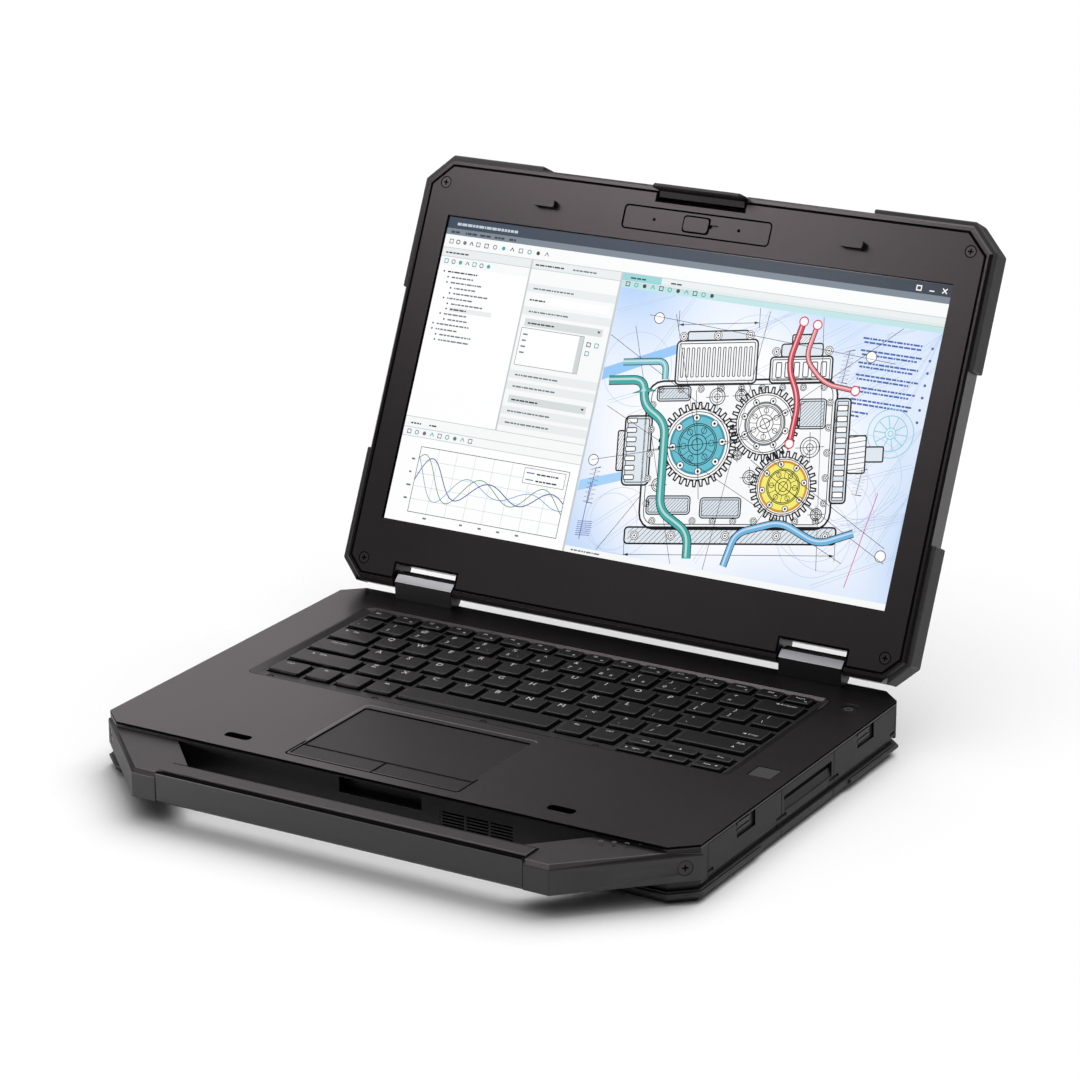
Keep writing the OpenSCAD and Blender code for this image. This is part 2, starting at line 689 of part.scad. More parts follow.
// Right half of the bracket, seen from above.
function bracket_outline(inset) = [
    [grip_half_w, handle_y + inset], [handle_half_w - inset * tan(slant_angle / 2), handle_y + inset],
    [arm_half_w - inset / sin(slant_angle), front_y + front_cut_y],
    [base_w / 2 - front_cut_x, front_y + front_cut_y], [base_w / 2 - front_cut_x, front_y],
    [opening_half_w + opening_slant, front_y], [opening_half_w, bar_y1], [grip_half_w, bar_y1]];

// The screw's seat stands square to the slanted face.
screw_along = 0.88;
handle_screw_l = 11;
handle_head_h = 1.6;
handle_shank_r = 1.5;
module on_slant() translate([handle_half_w + slant.x * screw_along, handle_y + slant.y * screw_along,
    (bracket_z0 + bracket_top) / 2 - 0.5]) rotate([0, 0, slant_angle]) children();

module handle_screw_seat() on_slant() {
    rod_y(-1, handle_head_h, handle_screw_r + 0.3);
    rod_y(0, handle_screw_l, handle_shank_r);
}

module bar_profile() polygon([[bar_y0, 14], [bar_y1 - 4, 14], [bar_y1, 18], [bar_y1, 25],
    [bar_y1 - 1.2, 27.6], [bar_y1 - 4, 28.6], [bar_y0 + 0.6, 28.6], [bar_y0, 28]]);

module handle_frame() color(case_grey) in_place() difference() {
    union() {
        both_sides() difference() {
            hull() {
                slab(bracket_outline(0), bracket_z0, bracket_top - bracket_bevel);
                slab(bracket_outline(bracket_bevel), bracket_z0, bracket_top);
            }
            slab(base_outline(0), 0, deck_z);
            box([0, handle_y - 1, 0], [grip_half_w, bar_y1, deck_z]);
        }
        along_x(-grip_half_w, grip_half_w) bar_profile();
    }
    both_sides() handle_screw_seat();
    for (place = light_places) translate([place.x, place.y, 0]) rod_z(bracket_top - 2, bracket_top + 1, light_r);
}

module grip_profile() polygon([[handle_y, grip_z0 + 1.5], [handle_y + 1.5, grip_z0], [bar_y1 - 3, grip_z0],
    [bar_y1 - 3, 13.9], [bar_y0 - 0.1, 13.9], [bar_y0 - 0.1, 25], [grip_back, 25],
    [grip_back, grip_z1], [handle_y + 0.8, grip_z1], [handle_y, grip_z1 - 0.8]]);

module handle_grip() color("#5c5e5f") in_place()
    along_x(-grip_half_w + 0.3, grip_half_w - 0.3) grip_profile();

module handle_screws() color(steel) in_place() both_sides() on_slant() difference() {
    union() {
        rod_y(0.2, handle_head_h, handle_screw_r);
        rod_y(handle_head_h - 0.1, handle_screw_l - 0.3, handle_shank_r);
    }
    box([-0.4, 0, -1.6], [0.4, 0.9, 1.6]);
    box([-1.6, 0, -0.4], [1.6, 0.9, 0.4]);
}

module status_lights() color("#9fb4c8") in_place() for (place = light_places)
    translate([place.x, place.y, 0]) rod_z(bracket_top - 2, bracket_top - 0.2, light_r);

// ---- Front wall pieces ----
slot_rows = 5;
slot_columns = 3;

module speaker_grille() color(key_black) in_place() difference() {
    box([grille_x0 + 0.1, front_y + 0.2, grille_z0 + 0.1],
        [grille_x0 + grille_w - 0.1, front_y + 0.2 + grille_t, grille_z0 + grille_h - 0.1]);
    for (row = [0 : slot_rows - 1]) for (column = [0 : slot_columns - 1])
        box([grille_x0 + 1.4 + column * (grille_w - 1.4) / slot_columns, front_y - 1, grille_z0 + 0.9 + row * 1.65],
            [grille_x0 + (column + 1) * (grille_w - 1.4) / slot_columns, front_y + 3, grille_z0 + 1.8 + row * 1.65]);
}

module speaker() color(dark_grey) in_place() difference() {
    box([grille_x0 + 0.2, front_y + 0.3 + grille_t, grille_z0 + 0.2],
        [grille_x0 + grille_w - 0.2, front_y + grille_t + speaker_d, grille_z0 + grille_h - 0.2]);
    translate([grille_x0 + grille_w / 2, 0, grille_z0 + grille_h / 2])
        rod_y(front_y, front_y + grille_t + 2.5, 3.8);
}

// ---- Hinge blocks ----
module block_profile()
    polygon([[-block_r, block_seat_z - hinge_z], [-block_r, 1.9], [-3.2, 5.4], [3, 5.4],
        [6.2, 2.2], [6.2, -4], [-hinge_back, -10.4], [-hinge_back, block_seat_z - hinge_z]]);

module hinge_blocks() color("#8d8f90") in_place() both_sides() difference() {
    translate([0, hinge_y, hinge_z]) along_x(block_x0, block_x1) block_profile();
    translate([0, hinge_y, hinge_z]) rod_x(block_x0 - 1, block_x1 + 1, hinge_pin_r + pin_play);
}

// ---- Inside the base ----
board_x0 = fan_x + 28.5;
board_x1 = cavity_half_w - port_block_d - 2.1;
board_y0 = drive_y0 + drive_d + 14;
board_y1 = cavity_y1 - 8.8;
chip_x1 = board_x0 + 82;
chip_y1 = board_y1 - 39;

module mainboard() color(board_green) in_place() difference() {
    union() {
        box([board_x0, board_y0, board_z0], [board_x1, board_y1, board_z0 + board_t]);
        box([chip_x1 - 34, chip_y1 - 34, board_z0 + board_t - touch], [chip_x1, chip_y1, board_z0 + board_t + 1.8]);
        box([board_x1 - 108, board_y0 + 12, board_z0 + board_t - touch],
            [board_x1 - 38, board_y0 + 44, board_z0 + board_t + 4]);
        for (i = [0 : 3]) box([board_x0 + 8.5 + i * 12, board_y0 + 12, board_z0 + board_t - touch],
            [board_x0 + 17.5 + i * 12, board_y0 + 26, board_z0 + board_t + 1.2]);
        for (x = [board_x0 + 8.5, board_x1 - 78]) for (y = [board_y0 + 8, board_y1 - 8])
            translate([x, y, 0]) rod_z(floor_z, board_z0 + touch, 2.5);
    }
    for (place = post_places) translate([place.x, place.y, 0]) rod_z(0, deck_z, post_r + 0.4);
    box([board_x0 - 1, fin_y0 - 1, 0], [fin_x1 + 1, board_y1 + 1, deck_z]);
}

fan_z0 = floor_z + 0.3;
fan_h = 9.5;
shaft_r = 1;

module fan_housing() color(dark_grey) in_place() translate([fan_x, fan_y, 0]) {
    difference() {
        box([-28, -28, fan_z0], [28, 30, fan_z0 + fan_h]);
        rod_z(fan_z0 + 1, fan_z0 + fan_h + 1, fan_r + 1);
        rod_z(fan_z0 - 1, fan_z0 + 2, intake_r);
        box([-20, 0, fan_z0 + 1], [20, 31, fan_z0 + fan_h - 1]);
    }
    box([-18, -2, fan_z0], [18, 2, fan_z0 + 1]);
    rod_z(fan_z0, fan_z0 + 6, shaft_r);
}

blade_count = 15;

module fan_rotor() color(key_black) in_place() translate([fan_x, fan_y, 0]) difference() {
    union() {
        rod_z(fan_z0 + 1.4, fan_z0 + 7.5, 9);
        for (i = [0 : blade_count - 1]) rotate(i * 360 / blade_count)
            box([8, -0.5, fan_z0 + 1.6], [fan_r - 1, 0.5, fan_z0 + 7.3]);
    }
    rod_z(fan_z0, fan_z0 + 6.3, shaft_r + pin_play);
}

fin_top = floor_z + fan_h + 0.3;
pipe_z0 = board_z0 + board_t + 2;
pipe_w = 6;
pipe_y0 = chip_y1 - 20;

module heat_sink() color("#a5794f") in_place() {
    box([fin_x0, fin_y0, floor_z + 0.3], [fin_x1, fin_y0 + 1, fin_top]);
    for (i = [0 : fin_count - 1])
        box([fin_x0 + i * fin_pitch, fin_y0, floor_z + 0.3],
            [fin_x0 + i * fin_pitch + 1, cavity_y1 - 0.3, fin_top]);
    box([fin_x1 - touch, fin_y0, pipe_z0], [fin_x1 + pipe_w, fin_y0 + pipe_w, pipe_z0 + 2]);
    box([fin_x1, pipe_y0, pipe_z0], [fin_x1 + pipe_w, fin_y0 + 1, pipe_z0 + 2]);
    box([fin_x1, pipe_y0, pipe_z0], [chip_x1 - 4, pipe_y0 + 16, pipe_z0 + 2]);
}

pack_gap = 0.3;
battery_w = 104;
battery_h = 12;
drive_h = 9.5;
drive_w = 102;

module battery() color(dark_grey) in_place() {
    box([-cavity_half_w + pack_gap, drive_y0 + pack_gap, floor_z + pack_gap],
        [-cavity_half_w + battery_w, drive_y0 + drive_d - pack_gap, floor_z + battery_h]);
}

module storage_drive() color(steel) in_place() {
    box([cavity_half_w - drive_w, drive_y0 + pack_gap, floor_z + pack_gap],
        [cavity_half_w - pack_gap, drive_y0 + drive_d - pack_gap, floor_z + drive_h]);
}

module dock_connector() color(key_black) in_place() difference() {
    box([-dock_w / 2 + 0.3, dock_y - dock_d / 2 + 0.3, foot_drop + 1.5],
        [dock_w / 2 - 0.3, dock_y + dock_d / 2 - 0.3, case_z - 0.1]);
    box([-dock_w / 2 + 4, dock_y - 1.5, foot_drop], [dock_w / 2 - 4, dock_y + 1.5, case_z - 2]);
}

// ---- Ports ----
port_block_z1 = 25;
usb_w = 13.1;
usb_h = 5.7;
usb_pitch = 22;
net_w = 11.9;
net_h = 8;
net_d = 13;

module port_block() box([cavity_half_w - port_block_d, port_y0 - 1, floor_z + 0.2],
    [cavity_half_w - 0.2, port_y1 + 1, port_block_z1]);

module usb_socket(y) difference() {
    box([cavity_half_w - 12, y, 16.2], [cavity_half_w + 1, y + usb_w, 16.2 + usb_h]);
    box([cavity_half_w - 13, y + 1, 16.2 + usb_h - 2.4], [cavity_half_w - 1, y + usb_w - 1, 16.2 + usb_h - 0.6]);
}

module right_ports() color(steel) in_place() difference() {
    port_block();
    for (i = [0, 1]) usb_socket(port_y0 + 6 + i * usb_pitch);
}

module left_ports() color(steel) in_place() mirror([1, 0, 0]) difference() {
    port_block();
    box([cavity_half_w - net_d, port_y0 + 5, 15.8], [cavity_half_w + 1, port_y0 + 5 + net_w, 15.8 + net_h]);
    usb_socket(port_y0 + 28);
}

module power_jack() color(key_black) in_place() translate([jack_x, 0, jack_z]) difference() {
    union() {
        rod_y(cavity_y1 - 6, rear_y - 0.4, jack_body_r - 0.1);
        box([-6, cavity_y1 - 8, -4.6], [6, cavity_y1 - 0.2, 5.2]);
        box([-3, cavity_y1 - 8, floor_z - jack_z], [3, cavity_y1 - 5, -4.5]);
    }
    rod_y(rear_y - 10, rear_y, jack_r);
}

// ---- Doors ----
pin_play_bore = door_pin_r + pin_play;

// Drawn with the hinge along +Y from 0, the outside towards +X, the axis at x = z = 0.
module door_plate(length) difference() {
    union() {
        box([-door_back, 0, 0], [barrel_r, length, door_h]);
        rod_y(knuckle + door_gap, length - knuckle - door_gap, barrel_r);
    }
    rod_y(-1, length + 1, pin_play_bore);
    for (y0 = [-1, length - knuckle - door_gap])
        box([-barrel_r - 1, y0, -barrel_r - 1], [barrel_r + 1, y0 + knuckle + door_gap + 1, knuckle_r]);
}

module latch_recess(length) {
    mid = length / 2;
    along_x(barrel_r - face_recess, barrel_r + 1)
        polygon([[mid - latch_recess_l / 2, door_h + 1], [mid + latch_recess_l / 2, door_h + 1],
            [mid + latch_recess_l / 2 + 0.3, door_h - latch_recess_h],
            [mid - latch_recess_l / 2 + 1.6, door_h - latch_recess_h]]);
}

module latched_door(length) difference() {
    door_plate(length);
    latch_recess(length);
}

// A scoop for a finger: deepest under its upper edge, running out to the face below.
scoop_z0 = 3.2;
scoop_step = 7.6;
scoop_z1 = 11.3;
scoop_end = 2.6;

module slotted_door(length) difference() {
    door_plate(length);
    translate([0, length - scoop_end, 0]) rotate([90, 0, 0]) linear_extrude(length - 2 * scoop_end)
        polygon([[barrel_r - face_recess, scoop_step], [barrel_r - 0.5, scoop_z0], [barrel_r + 1, scoop_z0],
            [barrel_r + 1, scoop_z1], [barrel_r - face_recess, scoop_z1]]);
}

latch_slider_l = 13.2;
latch_slider_h = 4.4;
latch_lip = 1.1;

module latch_slider(length) {
    x0 = barrel_r - face_recess + 0.1;
    z1 = door_h - 0.7;
    y0 = length / 2 - latch_recess_l / 2 + 1.8;
    box([x0, y0, z1 - latch_slider_h], [x0 + 0.5, y0 + latch_slider_l, z1]);
    for (z = [z1 - latch_slider_h, z1 - latch_lip]) box([x0 + 0.4, y0, z], [x0 + 1, y0 + latch_slider_l, z + latch_lip]);
}

module at_door(y) translate([door_axis_x, y, door_axis_z]) children();

module right_front_door() color(dark_grey) in_place() at_door(front_door_y) latched_door(front_door_l);
module right_bay_door() color(dark_grey) in_place() at_door(bay_door_y) slotted_door(bay_door_l);
module right_rear_door() color(dark_grey) in_place() at_door(rear_door_y) latched_door(rear_door_l);
module left_front_door() color(dark_grey) in_place() mirror([1, 0, 0]) at_door(front_door_y) latched_door(front_door_l);
module left_rear_door() color(dark_grey) in_place() mirror([1, 0, 0]) at_door(rear_door_y) latched_door(rear_door_l);
module right_front_door_latch() color(key_black) in_place() at_door(front_door_y) latch_slider(front_door_l);
module right_rear_door_latch() color(key_black) in_place() at_door(rear_door_y) latch_slider(rear_door_l);
module left_front_door_latch() color(key_black) in_place() mirror([1, 0, 0]) at_door(front_door_y) latch_slider(front_door_l);
module left_rear_door_latch() color(key_black) in_place() mirror([1, 0, 0]) at_door(rear_door_y) latch_slider(rear_door_l);

module door_pins() color(steel) in_place() {
    for (door = right_doors) at_door(door[0]) rod_y(0.2, door[1] - 0.2, door_pin_r);
    mirror([1, 0, 0]) for (door = left_doors) at_door(door[0]) rod_y(0.2, door[1] - 0.2, door_pin_r);
}

// ---- Lid, drawn flat round the hinge axis: +Y is the top edge, +Z is the user's side ----
lid_bottom_cut = 12;
bezel_z0 = bezel_rise - bezel_t;
back_z = -lid_back;
notch_x0 = block_x0 - 1.2;
notch_x1 = block_x1 + 1.3;
notch_y = 8.9;
tail_bevel = 1.6;
panel_margin = 6;
glass_margin = 2.5;
lens_y = lid_reach - 19.15;
bumper_top_x = lid_half_w - 71.5;
bumper_top_y = lid_reach - 75.6;
bumper_low_y = 71;
bumper_band_w = 9;
bumper_z0 = back_z + bumper_inset;
bumper_z1 = bezel_z0;
lid_ledge = 4.5;
lid_screw_x = lid_half_w - 11.9;
lid_screw_ys = [lid_reach - 13.75, 8.9];
lid_screw_r = 3;
camera_half_w = 45;
camera_half_h = 6.5;
camera_corner_r = 2.2;
camera_seam = 0.35;
camera_under = bezel_z0 - 3.5;
glass_top = bezel_z0 - 0.05;
panel_under = glass_top - glass_t - panel_t;
back_panel_in = 26;
back_panel_cut = 14;
back_panel_drop = 0.8;

function lid_outline(inset) = cut_box(lid_half_w - inset, -lid_tail + inset, lid_reach - inset,
    (lid_bottom_cut - inset * corner_shrink) * [1, 1], (lid_cut - inset * corner_shrink) * [1, 1]);

module lid_shape() difference() {
    hull() {
        slab(lid_outline(0), back_z + back_bevel, bezel_rise - 1.2);
        slab(lid_outline(back_bevel), back_z, bezel_rise - 1.2);
        slab(lid_outline(1.2), back_z + back_bevel, bezel_rise);
    }
    both_sides() box([notch_x0, -20, -20], [notch_x1, notch_y, 20]);
    translate([0, -lid_tail, bezel_rise]) rotate([45, 0, 0]) box([-200, -tail_bevel, -tail_bevel], [200, tail_bevel, tail_bevel]);
}

module lid_bumper_zones(grow) {
    x0 = lid_half_w - bumper_band_w - grow;
    y1 = lid_reach - bumper_band_w - grow;
    z0 = bumper_z0 - grow;
    both_sides() {
        box([bumper_top_x - grow, y1, z0], [lid_half_w + 10, lid_reach + 10, bumper_z1]);
        box([x0, bumper_top_y - grow, z0], [lid_half_w + 10, lid_reach + 10, bumper_z1]);
        box([x0, -lid_tail - 10, z0], [lid_half_w + 10, bumper_low_y + grow, bumper_z1]);
        slab([[x0 - lid_cut, lid_reach], [lid_half_w, lid_reach], [lid_half_w, y1 - lid_cut]], z0, bumper_z1);
    }
}

pivot_y = lid_reach - 3.6;
pivot_z = -1.5;
latch_half_w = 26;
latch_pin_r = 1;
latch_pocket_half_w = latch_half_w + 0.6;

// The cover is a shell. Ribs carry the panel, and the pieces at its rim have solid seats.
module lid_hollow() difference() {
    slab(lid_outline(lid_ledge), back_z + lid_wall, bezel_z0 + touch);
    lid_bumper_zones(2);
    for (i = [-2 : 2]) box([i * screen_w / 5 - 1, 0, back_z], [i * screen_w / 5 + 1, lid_reach, panel_under]);
    for (i = [0 : 3]) box([-lid_half_w, screen_up + 5 + i * screen_h / 3.2, back_z],
        [lid_half_w, screen_up + 7 + i * screen_h / 3.2, panel_under]);
    both_sides() box([notch_x0 - 13, -10, back_z], [notch_x1 + 13, notch_y + 4, bezel_rise]);
    box([-latch_pocket_half_w - 7, pivot_y - 8, back_z], [latch_pocket_half_w + 7, lid_reach, bezel_rise]);
    box([-camera_half_w - 2, lens_y - camera_half_h - 1, back_z],
        [camera_half_w + 2, lens_y + camera_half_h + 1, camera_under]);
    both_sides() for (y = lid_screw_ys) translate([lid_screw_x, y, 0]) rod_z(back_z, bezel_rise, 4);
}

module lid_cover() color(case_grey) in_lid() difference() {
    lid_shape();
    lid_hollow();
    slab(cut_box(lid_half_w - bezel_in, -lid_tail + 4, lid_reach - bezel_in - 0.5,
        [9, 9], [12, 12]), bezel_z0, bezel_rise + 1);
    slab(cut_box(lid_half_w - back_panel_in, back_panel_in, lid_reach - back_panel_in,
        back_panel_cut * [1, 1], back_panel_cut * [1, 1]), back_z - 1, back_z + back_panel_drop);
    lid_bumper_zones(0);
    box([-latch_pocket_half_w, pivot_y - 4.5, pivot_z - 4], [latch_pocket_half_w, lid_reach + 1, bezel_rise + 1]);
    translate([0, pivot_y, pivot_z]) rod_x(-latch_half_w - 5, latch_half_w + 5, latch_pin_r + pin_play);
    both_sides() rod_x(notch_x0 - 11, notch_x1 + 11, hinge_pin_r + pin_play);
    both_sides() for (y = lid_screw_ys) translate([lid_screw_x, y, 0]) rod_z(bezel_z0 - 6, bezel_rise, 1.2);
}

bezel_lip = 0.6;

module lid_bezel() color(dark_grey) in_lid() difference() {
    slab(cut_box(lid_half_w - bezel_in - 0.2, -lid_tail + 4.2, lid_reach - bezel_in - 0.7,
        [9, 9], [12, 12]), bezel_z0, bezel_rise);
    both_sides() box([notch_x0, -20, -20], [notch_x1, notch_y, 20]);
    box([-screen_w / 2 - bezel_lip, screen_up - bezel_lip, 0],
        [screen_w / 2 + bezel_lip, screen_up + screen_h + bezel_lip, 20]);
    box([-latch_pocket_half_w, pivot_y - 4.5, -20], [latch_pocket_half_w, lid_reach + 1, 20]);
    soft_box([-camera_half_w, lens_y - camera_half_h, 0], [camera_half_w, lens_y + camera_half_h, 20], camera_corner_r);
    both_sides() for (y = lid_screw_ys) translate([lid_screw_x, y, 0]) {
        rod_z(bezel_z0 - 1, bezel_rise + 1, 1.3);
        rod_z(bezel_rise - 1, bezel_rise + 1, lid_screw_r + 0.2);
    }
    both_sides() box([stop_x - 6, stop_up - 1.4, 0], [stop_x + 6, stop_up + 1.4, 20]);
}

module screen_glass() color("#20262c") in_lid()
    box([-screen_w / 2 - glass_margin, screen_up - glass_margin, glass_top - glass_t],
        [screen_w / 2 + glass_margin, screen_up + screen_h + glass_margin, glass_top]);

module display_panel() color("#7d8790") in_lid()
    box([-screen_w / 2 - panel_margin + 0.3, screen_up - panel_margin + 0.3, panel_under],
        [screen_w / 2 + panel_margin - 0.3, screen_up + screen_h + panel_margin - 0.3, glass_top - glass_t]);

module lid_bumpers() color(rubber_grey) in_lid() intersection() {
    slab(lid_outline(-lid_bumper_out), bumper_z0, bumper_z1);
    lid_bumper_zones(0);
}

stop_proud = 4;

module lid_pads() color(rubber_grey) in_lid() both_sides() {
    soft_box([stop_x - 7, stop_up - 2.1, bezel_rise], [stop_x + 7, stop_up + 2.1, bezel_rise + stop_proud], 1.4);
    box([stop_x - 5.9, stop_up - 1.3, bezel_z0], [stop_x + 5.9, stop_up + 1.3, bezel_rise + touch]);
}

module lid_screws() color(steel) in_lid() both_sides() for (y = lid_screw_ys)
    translate([lid_screw_x, y, 0]) difference() {
        union() {
            rod_z(bezel_rise - 1, bezel_rise - 0.1, lid_screw_r);
            rod_z(bezel_z0 - 5, bezel_rise - 0.9, 1.1);
        }
        box([-0.4, -1.6, bezel_rise - 0.8], [0.4, 1.6, bezel_rise]);
        box([-1.6, -0.4, bezel_rise - 0.8], [1.6, 0.4, bezel_rise]);
    }

shutter_travel = 10;
shutter_half_w = 7.4;
shutter_half_h = 3.9;
shutter_top = bezel_rise + 0.35;
camera_top = bezel_rise - 0.25;
tongue_half_w = 3;
tongue_half_h = 0.8;

module camera_module() color(key_black) in_lid() difference() {
    soft_box([-camera_half_w + camera_seam, lens_y - camera_half_h + camera_seam, camera_under],
        [camera_half_w - camera_seam, lens_y + camera_half_h - camera_seam, camera_top], camera_corner_r - camera_seam);
    translate([0, lens_y, 0]) rod_z(bezel_rise - 2.5, bezel_rise, 2.5);
    for (side = [-1, 1]) translate([side * 26, lens_y, 0]) rod_z(bezel_rise - 2, bezel_rise, 0.6);
    box([-tongue_half_w - 0.3, lens_y - tongue_half_h - 0.3, camera_top - 1.4],
        [tongue_half_w + shutter_travel + 0.3, lens_y + tongue_half_h + 0.3, bezel_rise]);
}

module camera_shutter() color(dark_grey) in_lid() {
    soft_box([-shutter_half_w, lens_y - shutter_half_h, camera_top + 0.05],
        [shutter_half_w, lens_y + shutter_half_h, shutter_top], 1.8);
    box([-tongue_half_w, lens_y - tongue_half_h, camera_top - 1.2],
        [tongue_half_w, lens_y + tongue_half_h, camera_top + 0.1]);
}

module hinge_pins() color(steel) in_lid() both_sides() rod_x(notch_x0 - 10.5, notch_x1 + 10.5, hinge_pin_r);

hook_reach = 17;

module lid_latch() color(dark_grey) in_lid() difference() {
    union() {
        translate([0, pivot_y, pivot_z]) rod_x(-latch_half_w, latch_half_w, 2.6);
        along_x(-latch_half_w, latch_half_w) polygon([[pivot_y - 2.6, pivot_z], [pivot_y + 2.6, pivot_z],
            [pivot_y + 3.4, bezel_rise], [pivot_y + 3.2, hook_reach - 2], [pivot_y + 1.4, hook_reach],
            [pivot_y + 0.4, hook_reach - 1], [pivot_y + 0.4, bezel_rise + 0.4], [pivot_y - 2.6, bezel_rise - 1]]);
    }
    translate([0, pivot_y, pivot_z]) rod_x(-latch_half_w - 1, latch_half_w + 1, latch_pin_r + pin_play);
}

module latch_pin() color(steel) in_lid() translate([0, pivot_y, pivot_z])
    rod_x(-latch_half_w - 4.5, latch_half_w + 4.5, latch_pin_r);

base_case();
bottom_cover();
bottom_screws();
base_bumpers();
palmrest_plate();
keyboard_plate();
keyboard_screws();
key_membrane();
function_keys();
number_keys();
upper_letter_keys();
home_letter_keys();
lower_letter_keys();
modifier_keys();
space_bar();
cursor_keys();
touchpad();
touchpad_left_button();
touchpad_right_button();
fingerprint_reader();
power_button();
status_lights();
handle_frame();
handle_grip();
handle_screws();
speaker_grille();
speaker();
hinge_blocks();
mainboard();
fan_housing();
fan_rotor();
heat_sink();
battery();
storage_drive();
dock_connector();
right_ports();
left_ports();
power_jack();
door_pins();
right_front_door();
right_bay_door();
right_rear_door();
left_front_door();
left_rear_door();
right_front_door_latch();
right_rear_door_latch();
left_front_door_latch();
left_rear_door_latch();
lid_cover();
lid_bezel();
display_panel();
screen_glass();
lid_bumpers();
lid_pads();
lid_screws();
camera_module();
camera_shutter();
hinge_pins();
lid_latch();
latch_pin();
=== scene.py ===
# %% [markdown]
# # A rugged laptop computer, dressed around its CAD frame
# The CAD model gives every rigid piece its place and size. This script adds what CAD leaves out:
# rounded edges, moulded keys with printed legends, a lit screen, and finishes with grain and worn
# edges, whose colour also paints a highlight, and on some parts a shadow gap.
# The frame is loaded first, and sizes and places are read from it.

import json
import math

import bmesh
import bpy
import numpy as np
from mathutils import Matrix, Vector


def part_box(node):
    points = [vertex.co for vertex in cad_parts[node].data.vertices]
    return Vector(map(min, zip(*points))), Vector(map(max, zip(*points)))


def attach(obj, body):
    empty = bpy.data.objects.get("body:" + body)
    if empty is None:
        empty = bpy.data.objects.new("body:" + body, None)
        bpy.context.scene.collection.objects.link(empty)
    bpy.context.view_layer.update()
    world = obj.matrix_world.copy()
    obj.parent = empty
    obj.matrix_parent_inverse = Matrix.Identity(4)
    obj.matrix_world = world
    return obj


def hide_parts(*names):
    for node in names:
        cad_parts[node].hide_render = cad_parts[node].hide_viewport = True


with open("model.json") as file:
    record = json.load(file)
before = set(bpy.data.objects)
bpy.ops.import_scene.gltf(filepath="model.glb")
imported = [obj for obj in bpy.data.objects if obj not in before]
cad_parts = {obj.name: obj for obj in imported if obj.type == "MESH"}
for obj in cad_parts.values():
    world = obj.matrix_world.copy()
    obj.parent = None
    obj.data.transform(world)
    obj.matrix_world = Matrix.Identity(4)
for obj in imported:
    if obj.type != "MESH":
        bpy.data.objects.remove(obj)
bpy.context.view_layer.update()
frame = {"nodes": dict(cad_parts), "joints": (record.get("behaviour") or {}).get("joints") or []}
MM = 0.001

# %% [markdown]
# ## Where things are
# A few sizes are read from the frame instead of being typed again. The lid has a flat drawing frame
# of its own: x to the user's right, y from the hinge axis up to the lid's top edge, and z out of the
# screen. One turn and one shift bring it to the open lid's place.

# %% Sizes read from the frame
deck_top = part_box("palmrest_plate")[1].z
hinge = next(j for j in frame["joints"] if j["name"] == "lid_hinge")
hinge_y, hinge_z = hinge["pos_m"][1], hinge["pos_m"][2]
LID_LEAN = math.radians(180 - 114.93)
BEZEL_FACE = 7.03


def lid_to_frame(points):
    """Turns flat lid points about the x axis by the lid's lean, then shifts them to the hinge axis."""
    points = np.asarray(points, float)
    c, s = math.cos(LID_LEAN), math.sin(LID_LEAN)
    x, y, z = points[..., 0], points[..., 1], points[..., 2]
    return np.stack([x, hinge_y + y * c - z * s, hinge_z + y * s + z * c], -1)


def frame_to_lid(points):
    """The way back: shifts points to the hinge axis and turns them by the lid's lean the other way."""
    points = np.asarray(points, float)
    c, s = math.cos(LID_LEAN), math.sin(LID_LEAN)
    y, z = points[..., 1] - hinge_y, points[..., 2] - hinge_z
    return np.stack([points[..., 0], y * c + z * s, z * c - y * s], -1)


print("palm rest top and hinge axis in mm:", [round(v / MM, 2) for v in (deck_top, hinge_y, hinge_z)])

# %% [markdown]
# ## Shared effects
# Three effects are on nearly every surface of a machine like this, so each is built once as a shader
# node group. Moulded and painted parts have a fine pebble grain. Handling leaves slow patches that
# are a little smoother and darker. And the rounded edges, which rub against bags and desks, take
# another colour than the faces: a lighter one for worn edges that also paints a highlight, and on
# some finishes black, a painted shadow gap. The bevels carry an attribute called edge for that.

# %% Helpers for node groups
def math_node(tree, operation, a, b):
    """A Math node; a and b are numbers or sockets."""
    node = tree.nodes.new("ShaderNodeMath")
    node.operation = operation
    for socket, value in zip(node.inputs, (a, b)):
        if isinstance(value, (int, float)):
            socket.default_value = value
        else:
            tree.links.new(value, socket)
    return node.outputs[0]


def noise_node(tree, place, scale, detail=2.0):
    """A Noise Texture at the given coordinates; scale is a socket, per metre."""
    node = tree.nodes.new("ShaderNodeTexNoise")
    node.inputs["Detail"].default_value = detail
    tree.links.new(place, node.inputs["Vector"])
    tree.links.new(scale, node.inputs["Scale"])
    return node.outputs["Fac"]


def effect(name, inputs, output, build):
    """A shader node group with float inputs (name, default) and one float output. build gets the
    tree, the Object coordinates and the input sockets, and returns the socket of the result."""
    tree = bpy.data.node_groups.new(name, "ShaderNodeTree")
    for label, value in inputs:
        tree.interface.new_socket(label, in_out="INPUT", socket_type="NodeSocketFloat").default_value = value
    tree.interface.new_socket(output, in_out="OUTPUT", socket_type="NodeSocketFloat")
    place = tree.nodes.new("ShaderNodeTexCoord").outputs["Object"]
    sockets = tree.nodes.new("NodeGroupInput").outputs
    result = build(tree, place, *(sockets[label] for label, _ in inputs))
    tree.links.new(result, tree.nodes.new("NodeGroupOutput").inputs[output])
    return tree


